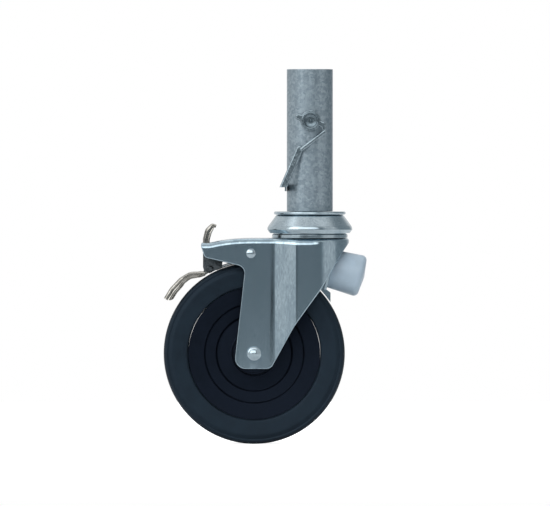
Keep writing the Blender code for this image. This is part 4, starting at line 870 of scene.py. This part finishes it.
# %% Add the foot plate's tongue and drill the rivet holes
TONGUE = [(-34.27, 0.00939, 0.0), (-31.63, 0.00640, 0.0), (-29.38, 0.01373, 0.002), (-24.23, 0.00867, 0.0015),
          (-25.96, 0.00188, 0.0015), (-29.73, 0.00203, 0.004), (-34.27, 0.00213, 0.0), (-36.42, 0.00376, 0.0)]
TONGUE_HOLLOW = [(-38.26, 0.01079, 0.0), (-31.12, 0.00256, 0.0), (-28.83, 0.00992, 0.001),
                 (-21.84, 0.00375, 0.0), (-28.33, -0.01866, 0.0), (-43.77, -0.00084, 0.0)]
TONGUE_HALF, TONGUE_T, RIVET_HOLE_R = 0.0150, 0.0028, 0.0028
TIP_LINE = [(-0.1640, -0.1005), (-0.1568, -0.0991), (-0.1491, -0.0961), (-0.1491, -0.1100),
            (-0.1640, -0.1100)]        # cut off under the tip
TIP_NICK_R, TIP_NICK = 0.0014, (-0.1556, -0.0991)
CUT_Y = 0.03                           # cutters reach this far to both sides

tongue = prism(rounded(over_tread(TONGUE)), -TONGUE_HALF, TONGUE_HALF)
hollow = prism(rounded(over_tread(TONGUE_HOLLOW)), TONGUE_T - TONGUE_HALF, TONGUE_HALF - TONGUE_T)
foot = combined(foot, combined(tongue, hollow), "UNION")
foot = combined(foot, prism(TIP_LINE, -CUT_Y, CUT_Y))
foot = combined(foot, along_y(rod(TIP_NICK_R, -CUT_Y, CUT_Y), *TIP_NICK))
(foot_rivet,) = over_tread([(-27.83, 0.00517)])
(finger_rivet,) = over_tread([(-26.05, 0.01865)])
foot = combined(foot, along_y(rod(RIVET_HOLE_R, -CUT_Y, CUT_Y), *foot_rivet))
finger = combined(finger, along_y(rod(RIVET_HOLE_R, -CUT_Y, CUT_Y), *finger_rivet))
add_piece("pressed_foot_plate", foot, NICKEL, "pedal", ["foot_plate"], edge_mm=0.25)
add_piece("pressed_release_finger", finger, NICKEL, "pedal", ["release_finger"], edge_mm=0.25)


# %% [markdown]
# ## Pins and bolts
# The lock pin through the stem has a thick head with a rolled rim, a deep
# dish and a small centre mark. The brake's pin has a domed head with a slot
# across it, and the axle's head is domed too, with a step round the dome.
# A dome shows the bright strip above and the white floor below, so both
# heads look white with a dark middle line.

# %% Turn the lock pin
PIN_R, PIN_HEAD_R, PIN_RIM_R, PIN_TIP = 0.0055, 0.0105, 0.0017, 0.002
PIN_SEAT_Y, PIN_FACE_Y, PIN_END_Y = -0.0280, -0.0360, 0.0314

pin = [(0.0, PIN_FACE_Y + 0.0024), (0.0012, PIN_FACE_Y + 0.0026), (0.0020, PIN_FACE_Y + 0.0034),
       (0.0045, PIN_FACE_Y + 0.0036), (0.0068, PIN_FACE_Y + 0.0028)]
pin += reversed(arc((PIN_HEAD_R - PIN_RIM_R, PIN_FACE_Y + PIN_RIM_R), PIN_RIM_R, 0.0, -180.0, 12))
pin += [(PIN_HEAD_R, PIN_SEAT_Y), (PIN_R, PIN_SEAT_Y), (PIN_R, PIN_END_Y - PIN_TIP),
        (PIN_R - PIN_TIP, PIN_END_Y), (0.0, PIN_END_Y)]
# the pin's head is darkened zinc, painted shade
add_piece("stem_lock_pin", along_y(lathe(pin, FINE), LOCK_X, LOCK_Z), GALVANISED_PIN_PAINTED_SHADE, "lock_pin",
          ["lock_pin"])


# %% Turn the brake's pin and the axle bolt
def dome(radius, rise, face_y):
    """The outer line of a domed end, from the axis out to its rim."""
    dome_r = (radius ** 2 + rise ** 2) / (2 * rise)
    reach = math.degrees(math.asin(radius / dome_r))
    outer = reversed(arc((0.0, 0.0), dome_r, 90.0 - reach, 90.0, 12))
    return [(r, face_y - (h - dome_r + rise)) for r, h in outer]


HEAD_SEAT_Y = -0.0353
BRAKE_PIN_R, BRAKE_HEAD_R, BRAKE_PIN_END_Y, BRAKE_PIN_TIP = 0.0040, 0.0054, 0.0377, 0.0006
SLOT_HALF_L, SLOT_HALF_W, SLOT_LEAN_DEG = 0.007, 0.0004, -8.0
AXLE_R, AXLE_HEAD_R, AXLE_TIP = 0.0060, 0.00835, 0.001

pin = dome(0.0052, 0.0016, HEAD_SEAT_Y - 0.0026)
pin += [(BRAKE_HEAD_R, HEAD_SEAT_Y - 0.0022), (BRAKE_HEAD_R, HEAD_SEAT_Y), (BRAKE_PIN_R, HEAD_SEAT_Y),
        (BRAKE_PIN_R, BRAKE_PIN_END_Y - BRAKE_PIN_TIP), (BRAKE_PIN_R - BRAKE_PIN_TIP, BRAKE_PIN_END_Y),
        (0.0, BRAKE_PIN_END_Y)]
pin = along_y(lathe(pin, FINE), PIVOT_X, PIVOT_Z)
slot = prism([(-SLOT_HALF_L, -SLOT_HALF_W), (SLOT_HALF_L, -SLOT_HALF_W), (SLOT_HALF_L, SLOT_HALF_W),
              (-SLOT_HALF_L, SLOT_HALF_W)], -0.05, HEAD_SEAT_Y - 0.0024)
lean = Matrix.Rotation(math.radians(SLOT_LEAN_DEG), 4, "Y")
slot.transform(Matrix.Translation((PIVOT_X, 0.0, PIVOT_Z)) @ lean)
add_piece("pivot_pin_slotted", combined(pin, slot), BRIGHT_ZINC, nodes["pivot_pin"]["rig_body"],
          ["pivot_pin"], edge_mm=0.12)
bolt_end_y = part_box("axle_bolt")[1].y
bolt = dome(0.0050, 0.0014, HEAD_SEAT_Y - 0.0040)
bolt += [(0.0054, HEAD_SEAT_Y - 0.0036), (0.0058, HEAD_SEAT_Y - 0.0036), (0.0072, HEAD_SEAT_Y - 0.0030),
         (0.0081, HEAD_SEAT_Y - 0.0020), (AXLE_HEAD_R, HEAD_SEAT_Y - 0.0010), (AXLE_HEAD_R, HEAD_SEAT_Y),
         (AXLE_R, HEAD_SEAT_Y), (AXLE_R, bolt_end_y - AXLE_TIP), (AXLE_R - AXLE_TIP, bolt_end_y),
         (0.0, bolt_end_y)]
add_piece("axle_bolt_headed", along_y(lathe(bolt, FINE), AXLE_X, AXLE_Z), BRIGHT_ZINC,
          nodes["axle_bolt"]["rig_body"], ["axle_bolt"])


# %% [markdown]
# ## Latch
# A flat keeper hangs on the lock pin: an eye with two ears, a link, a thicker
# bar and a handle whose lower end is cut off level and bent round the tube.
# Each bar has a rounded near edge, light above and dark below.

# %% Draw a bar of the latch
LATCH_BACK_Y, LATCH_T, BAR_T = -0.0257, 0.0020, 0.0040
BAR_EDGE_SHARE = 0.38                  # of a bar's width that its rounded edge may take


def soft_bar(start, end, width, thickness):
    """A flat bar with round ends and a rounded near edge."""
    p, q = Vector(start), Vector(end)
    lean = math.degrees(math.atan2(q.y - p.y, q.x - p.x))
    edge = min(BAR_EDGE_SHARE * width, 0.9 * thickness)
    near_y = LATCH_BACK_Y - thickness
    levels = [(0.0, LATCH_BACK_Y)] + [(edge * (1 - math.cos(t)), near_y + edge * (1 - math.sin(t)))
                                      for t in (math.radians(15.0 * i) for i in range(7))]
    bm = bmesh.new()
    rings = []
    for inset, y in levels:
        radius = width / 2 - inset
        outline = arc(p, radius, lean + 90.0, lean + 270.0, 12) + arc(q, radius, lean - 90.0, lean + 90.0, 12)
        rings.append([bm.verts.new((x, y, z)) for x, z in outline])
    loft(bm, rings)
    bm.faces.new(rings[-1])
    return bm


print("the latch's back is", round((-LATCH_BACK_Y - TUBE_R) * 1000, 1), "mm in front of the tube")

# %% Join the latch's bars
EYE_R, EYE_EDGE = 0.0115, 0.0012
# from, to, width and thickness: the ears, the link, the thick bar and the handle
EARS = ((-0.0125, 0.1046), (0.0142, 0.0960), 0.0070, LATCH_T)
LINK = ((0.0142, 0.0960), (0.0163, 0.0880), 0.0052, LATCH_T)
BAR = ((0.0163, 0.0880), (-0.0088, 0.0688), 0.0048, BAR_T)
HANDLE = ((-0.0112, 0.0690), (-0.0300, 0.0251), 0.0078, LATCH_T)
HANDLE_END_Z = 0.0268
TAB_X, TAB_Y, TAB_LOW_Z, TAB_HIGH_Z = -0.0257, 0.006, 0.0225, 0.0300

eye = rounded([(0.0, LATCH_BACK_Y, 0.0), (EYE_R, LATCH_BACK_Y, 0.0),
               (EYE_R, LATCH_BACK_Y - LATCH_T, EYE_EDGE), (0.0, LATCH_BACK_Y - LATCH_T, 0.0)],
              closed=False, step_deg=EDGE_STEP_DEG)
latch = along_y(lathe(eye, FINE), LOCK_X, LOCK_Z)
for bar in (EARS, LINK, BAR):
    latch = combined(latch, soft_bar(*bar), "UNION")
below = [(-0.06, 0.0), (0.0, 0.0), (0.0, HANDLE_END_Z), (-0.06, HANDLE_END_Z)]
latch = combined(latch, combined(soft_bar(*HANDLE), prism(below, -0.05, 0.0)), "UNION")
tab = prism([(TAB_X - LATCH_T, TAB_LOW_Z), (TAB_X, TAB_LOW_Z), (TAB_X, TAB_HIGH_Z),
             (TAB_X - LATCH_T, TAB_HIGH_Z)], LATCH_BACK_Y - 0.5 * LATCH_T, TAB_Y)
latch = combined(latch, tab, "UNION")
latch = combined(latch, along_y(rod(PIN_R + SEAT, -0.05, 0.05), LOCK_X, LOCK_Z))
add_piece("hanging_latch", latch, GALVANISED_FITTING, "latch", ["latch"])


# %% [markdown]
# ## Pieces that keep the CAD shape
# Nuts, races and brackets have the right shape in CAD, but as loose
# triangles. A merged copy can be shaded smooth, and a Bevel modifier rounds
# its sharp edges by a few tenths of a millimetre, so that they catch light.

# %% Merge and soften a CAD piece
SAME_POINT = 1e-6
FLAT_DEG = 0.5                         # triangles this close to one plane become one face


def dressed(node, name, material, slot_name, edge_mm=0.25):
    """A smooth copy of a CAD node with its flat faces whole and its sharp edges rounded."""
    bm = bmesh.new()
    bm.from_mesh(nodes[node].data)
    bmesh.ops.remove_doubles(bm, verts=bm.verts, dist=SAME_POINT)
    bmesh.ops.dissolve_limit(bm, angle_limit=math.radians(FLAT_DEG), verts=bm.verts, edges=bm.edges)
    add_piece(name, bm, material, nodes[node]["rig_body"], [node], edge_mm=edge_mm)


print("triangles within", FLAT_DEG, "degrees of each other become one face")

# %% Dress the CAD pieces
# CAD node, name of the piece, finish, slot and width of its edges
DRESSED = [
    ("kingpin", "kingpin_bolt", PRESSED_ZINC, "zinc_sheet", 0.3),
    ("kingpin_nut", "kingpin_hex_nut", BRIGHT_ZINC, "bright_zinc", 0.3),
    ("lower_race", "lower_ball_race", PRESSED_ZINC, "zinc_sheet", 0.2),
    ("neck_ring", "neck_ball_race", BRIGHT_ZINC, "bright_zinc", 0.3),
    ("axle_washer", "axle_flat_washer", BRIGHT_ZINC, "bright_zinc", 0.2),
    ("axle_nut", "axle_hex_nut", BRIGHT_ZINC, "bright_zinc", 0.3),
    ("axle_sleeve", "axle_steel_sleeve", PRESSED_ZINC, "zinc_sheet", 0.2),
    ("thrust_washer_near", "near_thrust_washer", POLYAMIDE, "black_moulded", 0.2),
    ("thrust_washer_far", "far_thrust_washer", POLYAMIDE, "black_moulded", 0.2),
    ("pivot_clip", "pivot_push_clip", BRIGHT_ZINC, "bright_zinc", 0.15),
    ("pivot_bush_near", "near_pivot_bush", PRESSED_ZINC, "zinc_sheet", 0.2),
    ("pivot_bush_far", "far_pivot_bush", PRESSED_ZINC, "zinc_sheet", 0.2),
    ("rear_bracket", "rear_cap_bracket", PRESSED_ZINC, "zinc_sheet", 0.3),
    ("adjuster_rod", "adjuster_bolt", BRIGHT_ZINC, "bright_zinc", 0.2),
    ("spring_washer", "spring_seat_washer", BRIGHT_ZINC, "bright_zinc", 0.2),
    ("adjuster_nut", "adjuster_hex_nut", BRIGHT_ZINC, "bright_zinc", 0.2),
    ("pedal_cheek_near", "near_pedal_cheek", DARK_STEEL, "dark_zinc", 0.35),
    ("pedal_cheek_far", "far_pedal_cheek", DARK_STEEL, "dark_zinc", 0.35),
    ("finger_rivet", "finger_round_rivet", DARK_STEEL, "dark_zinc", 0.2),
    ("foot_rivet", "foot_round_rivet", DARK_STEEL, "dark_zinc", 0.2),
    ("cam_bar", "hardened_cam_bar", DARK_STEEL, "bright_zinc", 0.2),
    # the brake strip's near-white steel is a painted highlight
    ("brake_arm", "brake_arm_strip", STRIP_STEEL_PAINTED_HIGHLIGHT, "bright_zinc", 1.1),
]
for entry in DRESSED:
    dressed(*entry)
print("dressed CAD pieces:", len(DRESSED))


# %% [markdown]
# ## Wheel
# A black tyre is moulded round a plastic centre with stepped rings. Both are
# bodies of revolution, so each one is a section in radius and width. A
# shallow step is moulded in the tyre's side just inside its shoulder.

# %% Turn the wheel
TYRE_BASE_R, TYRE_HALF = 0.073, 0.025
TYRE_SHOULDER_R = 0.007


def both_sides(half):
    """A wheel section from its half at positive width."""
    return half + [(r, -h) for r, h in reversed(half)]


tyre_half = [(TYRE_BASE_R, 0.0205), (0.0733, 0.0217), (0.0739, 0.0226), (0.0748, 0.0233), (0.0762, 0.0236)]
tyre_half += [(0.0800, 0.0239), (0.0880, 0.0248), (0.0905, 0.0250), (0.0913, 0.0248), (0.0947, 0.0236)]
tyre_half += reversed(arc((WHEEL_R - TYRE_SHOULDER_R, TYRE_HALF - TYRE_SHOULDER_R), TYRE_SHOULDER_R,
                          0.0, 62.0, 12))
tyre = along_y(lathe(both_sides(tyre_half), 2 * ROUND), AXLE_X, AXLE_Z)
add_piece("tyre_black_rubber", tyre, RUBBER, "wheel", ["tyre"])

CORE_LINE = [(0.0154, 0.0290, 0.0004), (0.0222, 0.0290, 0.0006), (0.0230, 0.0282, 0.0006),
             (0.0245, 0.0140, 0.0030), (0.0410, 0.0125, 0.0015), (0.0425, 0.0150, 0.0012),
             (0.0540, 0.0160, 0.0012), (0.0555, 0.0185, 0.0012), (0.0727, 0.0205, 0.0)]
core_half = rounded([(0.0154, 0.0, 0.0)] + CORE_LINE, closed=False, step_deg=15.0)[1:]
core = along_y(lathe(both_sides(core_half), 2 * FINE), AXLE_X, AXLE_Z)
add_piece("wheel_centre_moulded", core, POLYAMIDE, "wheel", ["wheel_core"])


# %% [markdown]
# ## Spring cap
# A milky plastic cup covers the brake's spring and adjuster. It leans down to
# the back, so it is turned about Z first and then laid along its own axis.

# %% Turn the cap
CAP_END = Vector((0.0602, 0.0, -0.0727))
CAP_TILT_DEG = 14.5
BRACKET_X = 0.0240                     # back face of the bracket that the cap stands on
CAP_ROOT_T = (BRACKET_X - CAP_END.x) / math.cos(math.radians(CAP_TILT_DEG)) + SEAT


def on_cap_axis(bm):
    """Lay a turned mesh along the cap's axis, with its zero at the end face."""
    lean = Matrix.Rotation(math.radians(90.0 + CAP_TILT_DEG), 4, "Y")
    bm.transform(Matrix.Translation(CAP_END) @ lean)
    return bm


cap = rounded([(0.0, -0.00005, 0.0), (0.0233, -0.00265, 0.0055), (0.02125, CAP_ROOT_T, 0.0)], closed=False)
cap += rounded([(0.01875, CAP_ROOT_T, 0.0), (0.0209, -0.0051, 0.0030), (0.0, -0.0025, 0.0)], closed=False)
# the cap's white is darkened to grey-blue: painted shade
add_piece("spring_cap_white", on_cap_axis(lathe(cap, FINE)), POLYETHYLENE_PAINTED_SHADE, "fork",
          ["spring_cap"])


# %% [markdown]
# ## Balls, rollers and spring with Geometry Nodes
# A bearing is one ball repeated round a circle, and a spring is one small
# circle that follows a helix. Geometry Nodes say both as a rule with named
# sizes, so a count or a radius is one input to change. The instances are
# made real at the end, because the export drops them.

# %% Helpers for node trees
def new_tree(name, sizes):
    """A geometry tree with named inputs; sizes are (label, kind, value)."""
    tree = bpy.data.node_groups.new(name, "GeometryNodeTree")
    for label, kind, value in sizes:
        tree.interface.new_socket(label, in_out="INPUT", socket_type=kind).default_value = value
    tree.interface.new_socket("Material", in_out="INPUT", socket_type="NodeSocketMaterial")
    tree.interface.new_socket("Geometry", in_out="OUTPUT", socket_type="NodeSocketGeometry")
    return tree, add_node(tree, "NodeGroupInput").outputs


def close_tree(tree, parts, material):
    """Join the parts, make instances real, set the material and end the tree."""
    joined = add_node(tree, "GeometryNodeJoinGeometry")
    for part in parts:
        tree.links.new(part, joined.inputs[0])
    real = add_node(tree, "GeometryNodeRealizeInstances", {0: joined.outputs[0]})
    finish = add_node(tree, "GeometryNodeSetMaterial", {"Geometry": real.outputs[0], "Material": material})
    add_node(tree, "NodeGroupOutput", {0: finish.outputs[0]})


def made_by(tree, material, values):
    """Run a tree with these values and return what it makes, as a plain mesh."""
    obj = bpy.data.objects.new(tree.name, bpy.data.meshes.new(tree.name))
    bpy.context.scene.collection.objects.link(obj)
    modifier = obj.modifiers.new(tree.name, "NODES")
    modifier.node_group = tree
    keys = {item.name: item.identifier for item in tree.interface.items_tree if item.in_out == "INPUT"}
    for label, value in {**values, "Material": material}.items():
        modifier[keys[label]] = value
    mesh = bpy.data.meshes.new_from_object(obj.evaluated_get(bpy.context.evaluated_depsgraph_get()))
    obj.modifiers.clear()
    bpy.data.objects.remove(obj, do_unlink=True)
    bm = bmesh.new()
    bm.from_mesh(mesh)
    bpy.data.meshes.remove(mesh)
    return bm


print("pieces left for Geometry Nodes: upper_balls, lower_balls, roller_bearing, brake_spring")

# %% Balls round a circle, held in a flat cage
tree, size = new_tree("ring_of_balls", [
    ("Count", "NodeSocketInt", 12), ("Pitch radius", "NodeSocketFloat", 0.0372),
    ("Ball radius", "NodeSocketFloat", 0.005), ("Cage width", "NodeSocketFloat", 0.004),
    ("Cage thickness", "NodeSocketFloat", 0.0014)])
spots = add_node(tree, "GeometryNodeMeshCircle", {"Vertices": size["Count"], "Radius": size["Pitch radius"]})
ball = add_node(tree, "GeometryNodeMeshUVSphere",
                {"Segments": 24, "Rings": 16, "Radius": size["Ball radius"]})
balls = add_node(tree, "GeometryNodeInstanceOnPoints",
                 {"Points": spots.outputs[0], "Instance": ball.outputs[0]})
path = add_node(tree, "GeometryNodeCurvePrimitiveCircle", {"Resolution": 84, "Radius": size["Pitch radius"]})
flat = add_node(tree, "GeometryNodeCurvePrimitiveQuadrilateral",
                {"Width": size["Cage width"], "Height": size["Cage thickness"]})
cage = add_node(tree, "GeometryNodeCurveToMesh", {"Curve": path.outputs[0], "Profile Curve": flat.outputs[0]})
close_tree(tree, [balls.outputs[0], cage.outputs[0]], size["Material"])
ring_of_balls = tree


def ball_row(node, name, values, count):
    """Balls at the height of the CAD node that they replace."""
    low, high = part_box(node)
    bm = made_by(ring_of_balls, BALL_STEEL, {**values, "Count": count})
    bm.transform(Matrix.Translation((0.0, 0.0, (low.z + high.z) / 2)))
    add_piece(name, bm, BALL_STEEL, "fork", [node], sharp_deg=60.0)


ball_row("upper_balls", "upper_ball_row",
         {"Pitch radius": 0.0372, "Ball radius": 0.0050, "Cage width": 0.0040}, 12)
ball_row("lower_balls", "lower_ball_row",
         {"Pitch radius": 0.0190, "Ball radius": 0.0030, "Cage width": 0.0024}, 10)

# %% Rollers of the wheel's bearing
ROLLER_PITCH_R, ROLLER_R, ROLLER_COUNT = 0.0127, 0.0024, 8
ROLLER_HALF, ROLLER_CAGE_T, ROLLER_CAGE_HALF, ROLLER_CAGE_EDGE = 0.0250, 0.0015, 0.00096, 0.0002

tree, size = new_tree("ring_of_rollers", [
    ("Count", "NodeSocketInt", ROLLER_COUNT), ("Pitch radius", "NodeSocketFloat", ROLLER_PITCH_R),
    ("Roller radius", "NodeSocketFloat", ROLLER_R), ("Length", "NodeSocketFloat", 2 * ROLLER_HALF)])
spots = add_node(tree, "GeometryNodeMeshCircle", {"Vertices": size["Count"], "Radius": size["Pitch radius"]})
roller = add_node(tree, "GeometryNodeMeshCylinder",
                  {"Vertices": 24, "Radius": size["Roller radius"], "Depth": size["Length"]})
rollers = add_node(tree, "GeometryNodeInstanceOnPoints",
                   {"Points": spots.outputs[0], "Instance": roller.outputs[0]})
close_tree(tree, [rollers.outputs[0]], size["Material"])
parts = [made_by(tree, BALL_STEEL, {"Count": ROLLER_COUNT})]
for low in (-ROLLER_HALF - ROLLER_CAGE_T / 2, ROLLER_HALF - ROLLER_CAGE_T / 2):
    parts.append(lathe(ring_section(ROLLER_PITCH_R - ROLLER_CAGE_HALF, ROLLER_PITCH_R + ROLLER_CAGE_HALF,
                                    low, low + ROLLER_CAGE_T, ROLLER_CAGE_EDGE), SMALL))


def side_by_side(parts):
    """Several closed meshes in one."""
    result = bmesh.new()
    for part in parts:
        mesh = bpy.data.meshes.new("part")
        part.to_mesh(mesh)
        part.free()
        result.from_mesh(mesh)
        bpy.data.meshes.remove(mesh)
    return result


rollers = along_y(side_by_side(parts), AXLE_X, AXLE_Z)
add_piece("roller_bearing_row", rollers, BALL_STEEL, "wheel", ["roller_bearing"],
          sharp_deg=40.0)

# %% Brake spring, a circle that follows a helix
SPRING_R, SPRING_WIRE_R, SPRING_TURNS = 0.0125, 0.0013, 4
CAP_WALL, CAP_CROWN, CAP_END_ROOM = 0.0025, 0.0026, 0.004
NUT_T, WASHER_T = 0.005, 0.0015        # of the adjuster, which the spring pushes against
SPRING_LOW = CAP_ROOT_T + SPRING_WIRE_R
SPRING_HIGH = -CAP_WALL - CAP_CROWN - CAP_END_ROOM - NUT_T - WASHER_T - SEAT - SPRING_WIRE_R

tree, size = new_tree("coil_spring", [
    ("Turns", "NodeSocketFloat", SPRING_TURNS), ("Coil radius", "NodeSocketFloat", SPRING_R),
    ("Length", "NodeSocketFloat", SPRING_HIGH - SPRING_LOW),
    ("Wire radius", "NodeSocketFloat", SPRING_WIRE_R)])
helix = add_node(tree, "GeometryNodeCurveSpiral",
                 {"Resolution": 36, "Rotations": size["Turns"], "Start Radius": size["Coil radius"],
                  "End Radius": size["Coil radius"], "Height": size["Length"]})
wire = add_node(tree, "GeometryNodeCurvePrimitiveCircle", {"Resolution": 14, "Radius": size["Wire radius"]})
coil = add_node(tree, "GeometryNodeCurveToMesh",
                {"Curve": helix.outputs[0], "Profile Curve": wire.outputs[0], "Fill Caps": True})
close_tree(tree, [coil.outputs[0]], size["Material"])
spring = made_by(tree, SPRING_STEEL, {"Turns": float(SPRING_TURNS)})
spring.transform(Matrix.Translation((0.0, 0.0, SPRING_LOW)))
add_piece("brake_spring_coil", on_cap_axis(spring), SPRING_STEEL, "fork",
          ["brake_spring"], sharp_deg=60.0)
